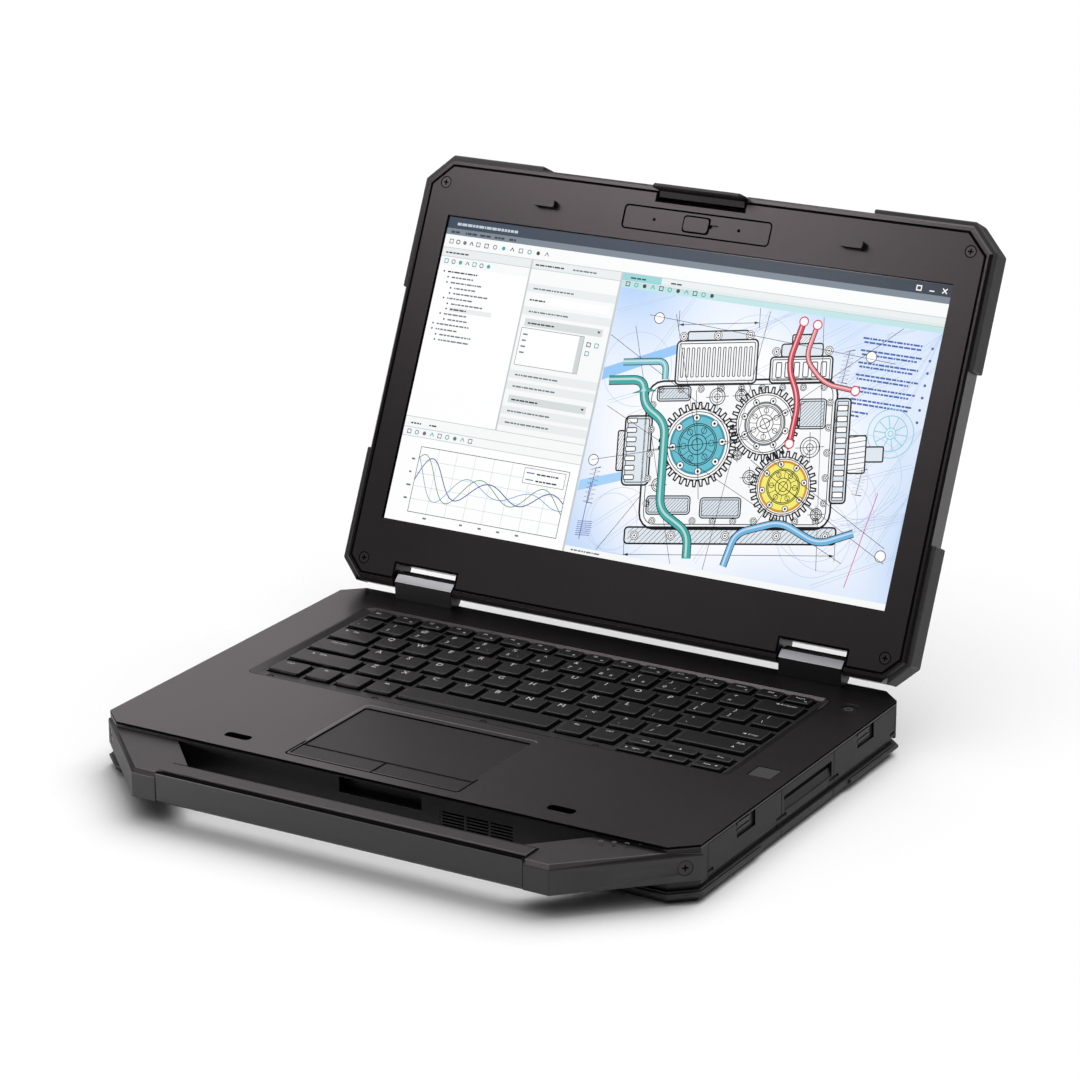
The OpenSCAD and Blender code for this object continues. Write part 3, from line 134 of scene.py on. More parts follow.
# %% The three effects
def pebbles(tree, place, scale, depth):
    """Smoothed distance to the nearest grain, plus a slow noise, times the depth."""
    cells = tree.nodes.new("ShaderNodeTexVoronoi")
    cells.feature = "SMOOTH_F1"
    tree.links.new(place, cells.inputs["Vector"])
    tree.links.new(scale, cells.inputs["Scale"])
    slow = noise_node(tree, place, math_node(tree, "MULTIPLY", scale, 0.35))
    return math_node(tree, "MULTIPLY", math_node(tree, "ADD", cells.outputs["Distance"], slow), depth)


def handling(tree, place, scale, strength):
    """A wide noise and one nine times finer, mixed 7 to 3 and centred on zero."""
    wide = math_node(tree, "MULTIPLY", noise_node(tree, place, scale, 3.0), 0.7)
    finer = noise_node(tree, place, math_node(tree, "MULTIPLY", scale, 9.0), 4.0)
    mixed = math_node(tree, "ADD", wide, math_node(tree, "MULTIPLY", finer, 0.3))
    return math_node(tree, "MULTIPLY", math_node(tree, "SUBTRACT", mixed, 0.5), strength)


# The edge mask: where it is 1, a finish takes its edge colour, which stands for worn edges together with a
# painted highlight, and on some finishes for a painted shadow gap.
def edge_wear_and_light_mask(tree, place, amount, scale):
    """The attribute edge, broken up by noise, times the amount, and 1 at most."""
    edge = tree.nodes.new("ShaderNodeAttribute")
    edge.attribute_name = "edge"
    breaks = math_node(tree, "ADD", noise_node(tree, place, scale, 3.0), 0.25)
    broken = math_node(tree, "MULTIPLY", edge.outputs["Fac"], breaks)
    return math_node(tree, "MINIMUM", math_node(tree, "MULTIPLY", broken, amount), 1.0)


grain = effect("Pebble grain", [("Grains per metre", 2500.0), ("Depth", 1.0)], "Height", pebbles)
patches = effect("Handling patches", [("Patches per metre", 14.0), ("Strength", 1.0)], "Mask", handling)
edge_wear_and_painted_light = effect("Edge wear and painted light", [("Amount", 1.0), ("Breaks per metre", 180.0)], "Mask", edge_wear_and_light_mask)
print("shader groups:", [g.name for g in bpy.data.node_groups])

# %% [markdown]
# ## Finishes
# Each finish is one function call: its colour on faces and on edges (worn edges with a painted
# highlight, and on some finishes a painted shadow gap), how rough it is, how coarse and how deep its
# grain is, and how much handling shows. The Principled shader itself stays in the material, where the
# exporter can read it.

# %% A finish from the shared effects
BUMP_RISE = 0.05 * MM


def principled(name, **values):
    """A material, its node tree and its Principled shader, with the named inputs set."""
    material = bpy.data.materials.new(name)
    material.use_nodes = True
    shader = material.node_tree.nodes["Principled BSDF"]
    for label, value in values.items():
        shader.inputs[label.replace("_", " ")].default_value = value
    return material, material.node_tree, shader


def finish(name, colour, edge_wear_and_light_colour, roughness, grain_scale, grain_depth, patch, edge_wear_and_light_amount,
           metallic=0.0, specular=0.5, coat=0.0, tint=(1.0, 1.0, 1.0)):
    """A Principled material: face colour blended on edges to the edge colour, which stands for worn
    edges together with a painted highlight, and on some finishes for a painted shadow gap; roughness
    shifted by the handling patches, and the grain's height through a Bump node."""
    material, tree, shader = principled(name, Metallic=metallic, Specular_IOR_Level=specular,
                                        Specular_Tint=(*tint, 1), Coat_Weight=coat, Coat_Roughness=0.25)

    def placed(group, **values):
        """A group's node in this material, with the named inputs set, as the socket it puts out."""
        node = tree.nodes.new("ShaderNodeGroup")
        node.node_tree = group
        for label, value in values.items():
            node.inputs[label.replace("_", " ")].default_value = value
        return node.outputs[0]

    handled = placed(patches, Strength=patch)
    mix = tree.nodes.new("ShaderNodeMix")
    mix.data_type = "RGBA"
    mix.inputs["A"].default_value = (*colour, 1)
    mix.inputs["B"].default_value = (*edge_wear_and_light_colour, 1)
    tree.links.new(placed(edge_wear_and_painted_light, Amount=edge_wear_and_light_amount), mix.inputs["Factor"])
    shade = tree.nodes.new("ShaderNodeHueSaturation")
    tree.links.new(mix.outputs["Result"], shade.inputs["Color"])
    darker = math_node(tree, "MULTIPLY", handled, -1.2)
    tree.links.new(math_node(tree, "ADD", darker, 1.0), shade.inputs["Value"])
    tree.links.new(shade.outputs["Color"], shader.inputs["Base Color"])
    tree.links.new(math_node(tree, "ADD", handled, roughness), shader.inputs["Roughness"])
    bump = tree.nodes.new("ShaderNodeBump")
    bump.inputs["Distance"].default_value = BUMP_RISE
    bump.inputs["Strength"].default_value = grain_depth
    tree.links.new(placed(grain, Grains_per_metre=grain_scale, Depth=1.0), bump.inputs["Height"])
    tree.links.new(bump.outputs["Normal"], shader.inputs["Normal"])
    return material


# %% The finishes of this machine
# A pale grey for a painted highlight line.
PAINTED_HIGHLIGHT = (0.085, 0.080, 0.081)
WARM = (1.0, 0.925, 0.95)
# Near black: a painted shadow gap along the edges of some finishes, and the colour of the seam shadow.
EDGE_SHADE_BLACK = (0.0006, 0.0006, 0.0006)
# Each finish's second colour is its edge colour: the lighter ones stand for worn edges together with a
# painted highlight on the bevels.
case_paint = finish("Smooth dark paint", (0.0052, 0.0046, 0.0048), (0.060, 0.055, 0.056), 0.29, 3200, 0.35,
                    0.08, 0.75, specular=0.42, tint=WARM)
bezel_paint = finish("Bezel plastic", (0.0062, 0.0054, 0.0057), (0.04, 0.037, 0.038), 0.37, 2600, 0.3,
                     0.08, 0.5, specular=0.42, tint=WARM)
bracket_paint = finish("Bracket paint", (0.0062, 0.0054, 0.0057), (0.040, 0.037, 0.038), 0.44, 2600,
                       0.4, 0.08, 0.6, specular=0.38, tint=WARM)
# The handle bracket's front faces: a matte front panel, made paler so the faces towards the user look lit;
# partly its own tone, partly painted light.
bracket_front_and_painted_light = finish("Bracket front, painted light", (0.0500, 0.0485, 0.0490), (0.05, 0.048, 0.048), 0.55, 1800,
                       0.5, 0.08, 0.3, specular=0.3)
# Door finish: its edges go fully black, a painted shadow gap round each door.
door_plastic = finish("Door plastic", (0.0055, 0.0052, 0.0053), EDGE_SHADE_BLACK, 0.46, 2200, 0.5, 0.10, 4.0,
                      specular=0.2, tint=WARM)
latch_plastic = finish("Latch plastic", (0.0060, 0.0056, 0.0057), (0.045, 0.043, 0.043), 0.46, 2200,
                       0.5, 0.10, 0.6, specular=0.3, tint=WARM)
cover_plastic = finish("Cover plastic", (0.0170, 0.0160, 0.0162), (0.03, 0.029, 0.029), 0.55, 1800,
                       0.6, 0.12, 0.3, specular=0.4)
# Keys: the lighter colour on each cap's rim stands for worn edges together with a painted highlight along the
# front edges.
key_plastic = finish("Key plastic", (0.0026, 0.0026, 0.0028), (0.030, 0.031, 0.032), 0.36, 4200, 0.25,
                     0.08, 0.9, specular=0.24)
# The key plate and the touchpad: their edges go fully black too, a painted shadow gap.
plate_plastic = finish("Key plate plastic", (0.0036, 0.0034, 0.0035), EDGE_SHADE_BLACK, 0.42, 3600, 0.25,
                       0.08, 4.0, specular=0.36)
pad_plastic = finish("Touchpad film", (0.0050, 0.0045, 0.0047), EDGE_SHADE_BLACK, 0.40, 5200, 0.12, 0.08,
                     4.0, specular=0.22, tint=WARM)
bumper_rubber = finish("Bumper rubber", (0.0085, 0.0083, 0.0085), (0.05, 0.05, 0.05), 0.58, 1500, 0.7,
                       0.12, 0.7, specular=0.4)
grip_rubber = finish("Grip rubber", (0.0200, 0.0208, 0.0206), (0.09, 0.092, 0.091), 0.46, 2000, 0.5,
                     0.10, 0.6)
black_plastic = finish("Black plastic", (0.003, 0.003, 0.0031), (0.02, 0.02, 0.02), 0.45, 2400, 0.3,
                       0.08, 0.4, specular=0.35)
seam_shadow = finish("Seam shadow", EDGE_SHADE_BLACK, EDGE_SHADE_BLACK, 0.9, 2400, 0.1, 0.0, 0.0, specular=0.05)
# A finish for a painted highlight drawn as a line.
painted_highlight_finish = finish("Painted highlight line", PAINTED_HIGHLIGHT, PAINTED_HIGHLIGHT, 0.36, 2400, 0.1, 0.0, 0.0, specular=0.5)
screw_steel = finish("Screw steel", (0.10, 0.10, 0.105), (0.3, 0.3, 0.3), 0.38, 3000, 0.2,
                     0.10, 0.8, metallic=1.0)
black_steel = finish("Blackened steel", (0.010, 0.0095, 0.0097), (0.09, 0.09, 0.09), 0.38, 3000, 0.2,
                     0.08, 0.8, tint=WARM)
hinge_metal = finish("Hinge metal", (0.125, 0.131, 0.136), (0.5, 0.5, 0.5), 0.42, 3000, 0.15,
                     0.08, 0.3, metallic=0.8)
sheet_steel = finish("Sheet steel", (0.45, 0.45, 0.46), (0.6, 0.6, 0.6), 0.32, 1500, 0.15,
                     0.10, 0.3, metallic=1.0)
board_lacquer = finish("Board lacquer", (0.02, 0.09, 0.045), (0.1, 0.2, 0.1), 0.35, 900, 0.3,
                       0.05, 0.3, coat=0.4)
copper = finish("Copper", (0.72, 0.36, 0.2), (0.8, 0.5, 0.3), 0.3, 900, 0.1, 0.10, 0.3, metallic=1.0)
reader_film = finish("Reader film", (0.045, 0.045, 0.047), (0.07, 0.07, 0.072), 0.3, 5200, 0.05,
                     0.06, 0.3)
lamp_lens = finish("Lamp lens", (0.05, 0.055, 0.06), (0.06, 0.06, 0.06), 0.25, 3000, 0.05, 0.05, 0.0)
print("finishes:", len(bpy.data.materials))

# %% [markdown]
# ## Rounded edges on the CAD pieces
# No moulded or machined edge is a knife edge: the small radius is what catches the light. A CAD
# node's mesh may not be changed, so a copy of it is merged, its flat triangles are joined into whole
# faces, and its long sharp edges get a bevel. Short edges, round bores and knuckles are left out,
# because a bevel would eat them. The copy then stands for the node.

# %% Reading meshes and making pieces
WELD = 2e-6
SHARP, FLAT = 35.0, 1.0


def column(items, name, width=1, kind=float):
    """One property of all vertices or polygons as an array, with width values to each."""
    values = np.empty(len(items) * width, kind)
    items.foreach_get(name, values)
    return values.reshape(-1, width) if width > 1 else values


def welded(node):
    """A node's mesh for editing, with its split corners merged."""
    shape = bmesh.new()
    shape.from_mesh(frame["nodes"][node].data)
    bmesh.ops.remove_doubles(shape, verts=shape.verts, dist=WELD)
    return shape


def new_mesh(name, points, faces, material):
    """A mesh from an (n, 3) array in metres and a list of faces."""
    mesh = bpy.data.meshes.new(name)
    mesh.from_pydata(np.asarray(points).reshape(-1, 3).tolist(), [], faces)
    mesh.materials.append(material)
    mesh.update()
    return mesh


def new_object(name, data):
    """An object at the origin, in the scene's own collection."""
    thing = bpy.data.objects.new(name, data)
    bpy.context.scene.collection.objects.link(thing)
    return thing


def new_piece(name, mesh, body, slot, *replaced):
    """An object for the mesh that rides on a body and stands for the CAD nodes it replaces."""
    piece = new_object(name, mesh)
    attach(piece, body)
    if replaced:
        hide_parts(*replaced)
    return piece


# %% A copy of a CAD node with rounded edges
def rounded(node, radius, body, material, slot, min_length=5.0, segments=2, top_only=False,
            cuts=(), wide=None):
    """Copies a node, welds it, dissolves its flat triangles, cuts it along planes (point in mm,
    normal), and bevels edges longer than min_length (mm) whose faces turn by more than SHARP degrees.
    wide is (radius, test): edges whose middle (x, y, z in mm) passes the test get that radius.
    Bevel faces get the attribute edge = 1."""
    mesh = frame["nodes"][node].data.copy()
    mesh.name = node + "_rounded"
    shape = welded(node)
    bmesh.ops.dissolve_limit(shape, angle_limit=math.radians(FLAT), verts=shape.verts, edges=shape.edges)
    for point, normal in cuts:
        bmesh.ops.bisect_plane(shape, geom=shape.verts[:] + shape.edges[:] + shape.faces[:], dist=WELD,
                               plane_co=Vector(point) * MM, plane_no=normal)
    top = max(v.co.z for v in shape.verts) - 0.05 * MM if top_only else -1.0
    picked = [e for e in shape.edges if len(e.link_faces) == 2 and e.calc_length() > min_length * MM
              and e.calc_face_angle(0) > math.radians(SHARP) and min(v.co.z for v in e.verts) > top]
    test = wide[1] if wide else (lambda x, y, z: False)
    broad = [test(*((e.verts[0].co + e.verts[1].co) / 2 / MM)) for e in picked]
    flagged = []
    for chosen, reach in ((False, radius), (True, wide[0] if wide else 0)):
        edges = [e for e, is_broad in zip(picked, broad) if is_broad == chosen and e.is_valid]
        if edges:
            flagged += bmesh.ops.bevel(
                shape, geom=edges, offset=reach * MM, offset_type="OFFSET", profile=0.5,
                segments=segments, affect="EDGES", clamp_overlap=True)["faces"]
    shape.to_mesh(mesh)
    layer = mesh.attributes.new("edge", "FLOAT", "FACE")
    shape.faces.index_update()
    flags = np.zeros(len(mesh.polygons), np.float32)
    flags[[f.index for f in flagged if f.is_valid]] = 1.0
    layer.data.foreach_set("value", flags)
    shape.free()
    mesh.materials.clear()
    mesh.materials.append(material)
    print(f"{node}: {len(picked)} edges rounded by {radius} mm, {len(mesh.polygons)} faces")
    return new_piece(node + "_dressed", mesh, body, slot, node)


def give_finish(name, mesh, material, chosen):
    """Gives another finish to the chosen faces, a boolean array."""
    index = column(mesh.polygons, "material_index", kind=np.int32)
    mesh.materials.append(material)
    index[chosen] = len(mesh.materials) - 1
    mesh.polygons.foreach_set("material_index", index)
    print(f"{name}: {int(chosen.sum())} faces in {material.name}")


def second_finish(piece, material, test):
    """Gives another finish to the faces that pass the test, which gets the centres' x, y, z in mm, the
    normals (n, 3) and the attribute edge, all as arrays."""
    faces = piece.data.polygons
    edge = column(piece.data.attributes["edge"].data, "value")
    chosen = test(*(column(faces, "center", 3).T / MM), column(faces, "normal", 3), edge)
    give_finish(piece.name, piece.data, material, chosen)


# %% The case, the palm rest and the bottom
pad_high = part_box("touchpad")[1]
deck_mm = deck_top / MM
EDGE_GAP, CORNER_REACH = 1.3, 310
palmrest = rounded("palmrest_plate", 0.45, "base", case_paint, "case_paint",
                   cuts=[((0, 0, deck_mm - EDGE_GAP), (0, 0, 1))],
                   wide=(0.85, lambda x, y, z: abs(y - pad_high.y / MM) < 1.2 and z > deck_mm - 0.1))
palm_low, palm_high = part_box("palmrest_plate")


def shows_black(x, y, z, normal, edge):
    """The gap under the palm rest's outer edge, and the walls and floors of its pockets."""
    low, high = palm_low / MM, palm_high / MM
    upright = np.abs(normal[:, 2]) < 0.5
    outer = (np.abs(x) > high.x - 1) | (y < low.y + 1) | (y > high.y - 1)
    outer |= np.abs(x) + np.abs(y) > CORNER_REACH
    gap = upright & (z > deck_mm - EDGE_GAP)
    return (edge < 0.5) & (gap | (~outer & (np.abs(normal[:, 2]) < 0.2)))


second_finish(palmrest, seam_shadow, shows_black)
case = rounded("base_case", 0.3, "base", case_paint, "case_paint", min_length=8)
second_finish(case, door_plastic, lambda x, y, z, n, e: (
    (np.abs(n[:, 0]) > 0.9) & (np.abs(x) > 171) & (e < 0.5)))
second_finish(case, black_plastic, lambda x, y, z, n, e: (n[:, 1] < -0.5) & (y < palm_low.y / MM + 30))
bay_low, bay_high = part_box("right_bay_door")
skirt_lines = [bay_low.y / MM - 0.15, bay_high.y / MM + 0.15]
skirt = rounded("bottom_cover", 0.4, "base", cover_plastic, "dark_plastic", min_length=8,
                cuts=[((0, y + s, 0), (0, 1, 0)) for y in skirt_lines for s in (-0.35, 0.35)])
second_finish(skirt, seam_shadow, lambda x, y, z, n, e: (x > 160) & (n[:, 0] > 0.3) & (
    (np.abs(y - skirt_lines[0]) < 0.36) | (np.abs(y - skirt_lines[1]) < 0.36)))
rounded("base_bumpers", 0.8, "base", bumper_rubber, "bumper_rubber", segments=3)

# %% The handle
bracket = rounded("handle_frame", 0.5, "base", bracket_paint, "case_paint")
# The faces towards the user take the paler front finish: the panel's tone with painted light.
second_finish(bracket, bracket_front_and_painted_light, lambda x, y, z, n, e: (
    (n[:, 1] < -0.3) & (np.abs(n[:, 2]) < 0.3) & (np.abs(np.abs(x) - 137.5) < 30.5) & (e < 0.5)))
grip = rounded("handle_grip", 0.4, "base", grip_rubber, "grip_rubber")
second_finish(grip, seam_shadow, lambda x, y, z, n, e: (n[:, 2] > 0.5) & (z > 26.8))

# %% The lid, its latch and the hinge blocks
rounded("lid_cover", 0.5, "lid", case_paint, "case_paint", min_length=8)
rounded("lid_bezel", 0.25, "lid", bezel_paint, "dark_plastic")
rounded("lid_bumpers", 0.9, "lid", bumper_rubber, "bumper_rubber", segments=3)
rounded("lid_pads", 0.7, "lid", bezel_paint, "bumper_rubber", min_length=3, segments=3)
rounded("lid_latch", 0.6, "lid_latch", latch_plastic, "dark_plastic")
rounded("hinge_blocks", 0.4, "base", hinge_metal, "bracket_metal")

# %% The doors, and the plates whose edges are painted black, a shadow gap
for door in ("right_front_door", "right_bay_door", "right_rear_door", "left_front_door", "left_rear_door"):
    door_piece = rounded(door, 0.38, door, door_plastic, "dark_plastic", min_length=3)
    door_face = max(abs(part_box(door)[0].x), abs(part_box(door)[1].x)) / MM
    # The walls of each door's recesses are given painted shade.
    second_finish(door_piece, seam_shadow, lambda x, y, z, n, e: (np.abs(n[:, 0]) < 0.5) & (e < 0.5) & (
        np.abs(x) < door_face - 0.1) & (np.abs(x) > door_face - 1.25))
rounded("keyboard_plate", 0.4, "base", plate_plastic, "key_plastic", min_length=1.0, top_only=True)
rounded("touchpad", 0.35, "base", pad_plastic, "dark_plastic", min_length=0.2, top_only=True)
for button in ("touchpad_left_button", "touchpad_right_button"):
    rounded(button, 0.35, button, pad_plastic, "dark_plastic", min_length=0.2, top_only=True)

# %% [markdown]
# ## The other CAD pieces
# Screws, pins, ports and the parts inside already have their shapes, so they only need a finish.

# %% Finishes for the nodes that stay
plain_finishes = {
    screw_steel: ["bottom_screws", "hinge_pins", "latch_pin", "door_pins"],
    black_steel: ["keyboard_screws", "handle_screws", "lid_screws"],
    bezel_paint: ["camera_module", "camera_shutter"],
    reader_film: ["fingerprint_reader"],
    black_plastic: ["speaker_grille", "speaker", "dock_connector", "power_jack", "fan_housing",
                    "fan_rotor", "battery", "power_button", "right_front_door_latch",
                    "right_rear_door_latch", "left_front_door_latch", "left_rear_door_latch"],
    sheet_steel: ["key_membrane", "storage_drive", "right_ports", "left_ports"],
    board_lacquer: ["mainboard"],
    copper: ["heat_sink"],
    lamp_lens: ["status_lights"],
}
for material, nodes in plain_finishes.items():
    for node in nodes:
        mesh = frame["nodes"][node].data
        mesh.materials.clear()
        mesh.materials.append(material)
print("nodes kept as they are:", sum(len(n) for n in plain_finishes.values()))


def darken_recesses(node, material, depth=0.12):
    """Gives the material to the faces that don't lie in one of the node's large outer planes: the
    rims of screw heads, and the walls and floors of their drives, depth (mm) below the plane."""
    mesh = frame["nodes"][node].data
    normals = column(mesh.polygons, "normal", 3)
    reach = (column(mesh.polygons, "center", 3) * normals).sum(1) / MM
    ways, way = np.unique(np.round(normals, 1), axis=0, return_inverse=True)
    way = way.ravel()
    share, top = np.bincount(way, column(mesh.polygons, "area")), np.full(len(ways), -np.inf)
    np.maximum.at(top, way, reach)
    give_finish(node, mesh, material, (share[way] < 0.3 * share.max()) | (reach < top[way] - depth))


for node in ("handle_screws", "lid_screws"):
    darken_recesses(node, seam_shadow)

# %% [markdown]
# ## Lofted pieces
# Keys are stacks of closed outlines: the same outline is drawn at several heights, a little larger
# or smaller each time, and neighbouring outlines are joined by quads. The first and last outlines
# are closed with one face each.

# %% A rounded outline and a stack of them
SMOOTH_TURN = 50.0


def rounded_outline(low, high, radius, steps=5):
    """Corner arcs of a rectangle: each corner's centre plus radius times (cos t, sin t), with t from
    the corner's own quarter turn. low and high may be arrays of shape (K, 2); returns (K, N, 2)."""
    low, high = np.atleast_2d(low), np.atleast_2d(high)
    turn = np.linspace(0, math.pi / 2, steps)
    angles = np.concatenate([turn + k * math.pi / 2 for k in range(4)])
    side_x = np.repeat([1, 0, 0, 1], steps)
    side_y = np.repeat([1, 1, 0, 0], steps)
    x = low[:, :1] + radius + side_x * (high[:, :1] - low[:, :1] - 2 * radius) + radius * np.cos(angles)
    y = low[:, 1:] + radius + side_y * (high[:, 1:] - low[:, 1:] - 2 * radius) + radius * np.sin(angles)
    return np.stack([x, y], -1)


def stacked(name, rings, material):
    """Rings of shape (K, R, N, 3), K separate stacks of R outlines of N points, become K closed
    shells: quads between neighbouring rings, and one face at each end. The attribute edge is 1 on
    the ring of quads under the last face."""
    stacks, levels, count = rings.shape[:3]
    index = np.arange(stacks * levels * count).reshape(stacks, levels, count)
    nxt = np.roll(index, -1, axis=2)
    quads = np.stack([index[:, :-1], nxt[:, :-1], nxt[:, 1:], index[:, 1:]], -1)
    faces = quads.reshape(-1, 4).tolist() + index[:, 0, ::-1].tolist() + index[:, -1].tolist()
    mesh = new_mesh(name, rings, faces, material)
    flags = np.zeros(len(faces), np.float32)
    rim = np.zeros(quads.shape[:3], np.float32)
    rim[:, -2:] = 1.0
    flags[:rim.size] = rim.ravel()
    mesh.attributes.new("edge", "FLOAT", "FACE").data.foreach_set("value", flags)
    smooth = np.zeros(len(faces), bool)
    smooth[:rim.size] = True
    mesh.polygons.foreach_set("use_smooth", smooth)
    mesh.set_sharp_from_angle(angle=math.radians(SMOOTH_TURN))
    return mesh


# %% [markdown]
# ## The keyboard
# A key is a shallow moulded cap: a flared skirt, steep flanks, a small rounded edge and a top face.
# The places of the caps are read from the frame, so they follow the CAD model. The legends are
# printed at the upper left of each cap, in a plain typeface, and the key of the operating system
# stays bare.

# %% The caps
NEAR = 2e-5


def cap_boxes(node):
    """The top faces of a node's caps: the highest corners, whose x and y values pair up into columns
    and levels. Returns (K, 4): x0, y0, x1, y1 in metres, columns first."""
    points = column(frame["nodes"][node].data.vertices, "co", 3)
    top = np.unique(np.round(points[points[:, 2] > points[:, 2].max() - NEAR, :2], 6), axis=0)

    def spans(values):
        """Sorted values without near doubles, two by two."""
        values = np.unique(values)
        keep = np.concatenate([[True], np.diff(values) > NEAR])
        return values[keep].reshape(-1, 2)

    columns, levels = spans(top[:, 0]), spans(top[:, 1])
    return np.array([[c[0], r[0], c[1], r[1]] for c in columns for r in levels])


KEY_ROWS = ["function_keys", "number_keys", "upper_letter_keys", "home_letter_keys", "lower_letter_keys",
            "modifier_keys", "space_bar", "cursor_keys"]
CAP_FLARE = 0.9 * MM
# Each step of a cap: how far it stands out from the top face, and its height share from foot to top.
CAP_STEPS = ((0.85, 0.0), (0.72, 0.45), (0.50, 0.80), (0.40, 0.90),
             (0.24, 0.965), (-0.02, 0.995), (-0.42, 1.0))
cap_places = {}
for node in KEY_ROWS:
    boxes = cap_boxes(node)
    cap_places[node] = boxes
    low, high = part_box(node)
    rings = []
    for grow, rise in CAP_STEPS:
        reach, radius = grow * CAP_FLARE, (1.0 + 0.5 * max(grow, 0)) * MM
        out = rounded_outline(boxes[:, :2] - reach, boxes[:, 2:] + reach, radius)
        z = np.full(out.shape[:2] + (1,), low.z + rise * (high.z - low.z))
        rings.append(np.concatenate([out, z], -1))
    mesh = stacked(node + "_caps", np.stack(rings, 1), key_plastic)
    new_piece(node + "_caps", mesh, node, "key_plastic", node)
print("caps:", {node: len(boxes) for node, boxes in cap_places.items()})

# %% Words and marks as flat shapes
PRINT_RISE = 0.015
legend_ink = finish("Legend ink", (0.60, 0.61, 0.62), (0.60, 0.61, 0.62), 0.5, 3000, 0.05, 0.05, 0.0)
glyphs = {}


def glyph(text, size):
    """One word as flat triangles: points (n, 2) in metres, centred on its own box, and its faces.
    The text is made a mesh here, before it is placed."""
    if (text, size) not in glyphs:
        curve = bpy.data.curves.new("word", "FONT")
        curve.body, curve.size, curve.resolution_u = text, size * MM, 2
        holder = bpy.data.objects.new("word", curve)
        mesh = bpy.data.meshes.new_from_object(holder)
        points = column(mesh.vertices, "co", 3)[:, :2]
        faces = [tuple(p.vertices) for p in mesh.polygons]
        if len(points):
            points = points - (points.min(0) + points.max(0)) / 2
        glyphs[(text, size)] = (points, faces)
        bpy.data.objects.remove(holder)
        bpy.data.curves.remove(curve)
        bpy.data.meshes.remove(mesh)
    return glyphs[(text, size)]


def printed(name, marks, body, slot, material, place=lambda points: points):
    """One mesh from many marks, each (points, faces, x, y, z); all faces look up until they are placed."""
    points, faces, start = [], [], 0
    for shape, mark_faces, x, y, z in marks:
        points.append(np.column_stack([shape[:, 0] + x, shape[:, 1] + y, np.full(len(shape), z)]))
        faces += [tuple(start + i for i in face) for face in mark_faces]
        start += len(shape)
    return new_piece(name, new_mesh(name, place(np.concatenate(points)), faces, material), body, slot)


def arrow(length, width, turn):
    """An arrow head of the given length and width, in metres, turned by quarter turns."""
    points = np.array([[length / 2, 0], [-length / 2, width / 2], [-length / 2, -width / 2]])
    c, s = math.cos(turn * math.pi / 2), math.sin(turn * math.pi / 2)
    return points @ np.array([[c, s], [-s, c]]), [(0, 1, 2)]


def bar(length, width):
    """A flat bar centred on its own box."""
    points = np.array([[-length, -width], [length, -width], [length, width], [-length, width]]) / 2
    return points, [(0, 1, 2, 3)]


# %% The table of legends
# Marks of each key from left to right: (word, size in mm, across share, depth share).
HIGH_LEFT = (0.32, 0.78)


def word(text, size=5.3, at=HIGH_LEFT):
    """A word's mark; the letters are the largest, at the key's upper left."""
    return (text, size, *at)


def pair(low, high, third=None):
    """Two signs above each other, and a third at the lower right."""
    marks = [word(high, 4.3, (0.30, 0.79)), word(low, 4.3, (0.28, 0.27))]
    return marks + ([word(third, 3.4, (0.70, 0.27))] if third else [])


LEGENDS = {
    "function_keys": [[word("Esc", 2.6, (0.36, 0.62))]]
    + [[word(f"F{i}", 2.6, (0.34, 0.70)), ("dot", 1.5, 0.78, 0.26)] for i in range(1, 13)]
    + [[word(t, 2.3, (0.5, 0.66)), ("dot", 1.3, 0.82, 0.26)] for t in ("Home", "End", "Insert")],
    "number_keys": [pair(*marks) for marks in zip("`1234567890-=", "~!@#$%^&*()_+", "    ,' " + "789/  ")]
    + [[("left", 2.2, 0.38, 0.80), word("Backspace", 2.3, (0.66, 0.80))]],
    "upper_letter_keys": [[("right", 1.8, 0.20, 0.80), word("Tab", 2.6, (0.44, 0.80))]]
    + [[word(c)] for c in "QWERTYUIOP"] + [pair("[", "{"), pair("]", "}"), pair("\\", "|")],
    "home_letter_keys": [[word("Caps Lock", 2.4, (0.42, 0.80))]] + [[word(c)] for c in "ASDFGHJKL"]
    + [pair(";", ":"), pair("'", '"'), [("left", 2.2, 0.62, 0.30), word("Enter", 2.6, (0.80, 0.30))]],
    "lower_letter_keys": [[("up", 1.8, 0.22, 0.80), word("Shift", 2.6, (0.38, 0.80))]]
    + [[word(c)] for c in "ZXCVBNM"] + [pair(",", "<"), pair(".", ">"), pair("/", "?")]
    + [[word("Shift", 2.6, (0.84, 0.74)), ("up", 2.0, 0.80, 0.34)]],
    "modifier_keys": [[word("Ctrl", 2.6, (0.36, 0.80))], [word("Fn", 2.6, (0.44, 0.80))], []]
    + [[word(text, 2.6, (0.44, 0.80))] for text in ("Alt", "Alt", "Ctrl")],
    "cursor_keys": [[("left", 1.6, 0.22, 0.55), word("PgDn", 2.0, (0.6, 0.55))],
                    [word("PgUp", 2.0, (0.58, 0.62))], [("down", 1.8, 0.5, 0.55)], [("up", 1.8, 0.5, 0.55)],
                    [word("Next", 2.0, (0.46, 0.58)), ("right", 1.6, 0.82, 0.58)],
                    [word("Prev", 2.0, (0.56, 0.62))]],
}
print("keys with legends:", sum(len(row) for row in LEGENDS.values()))

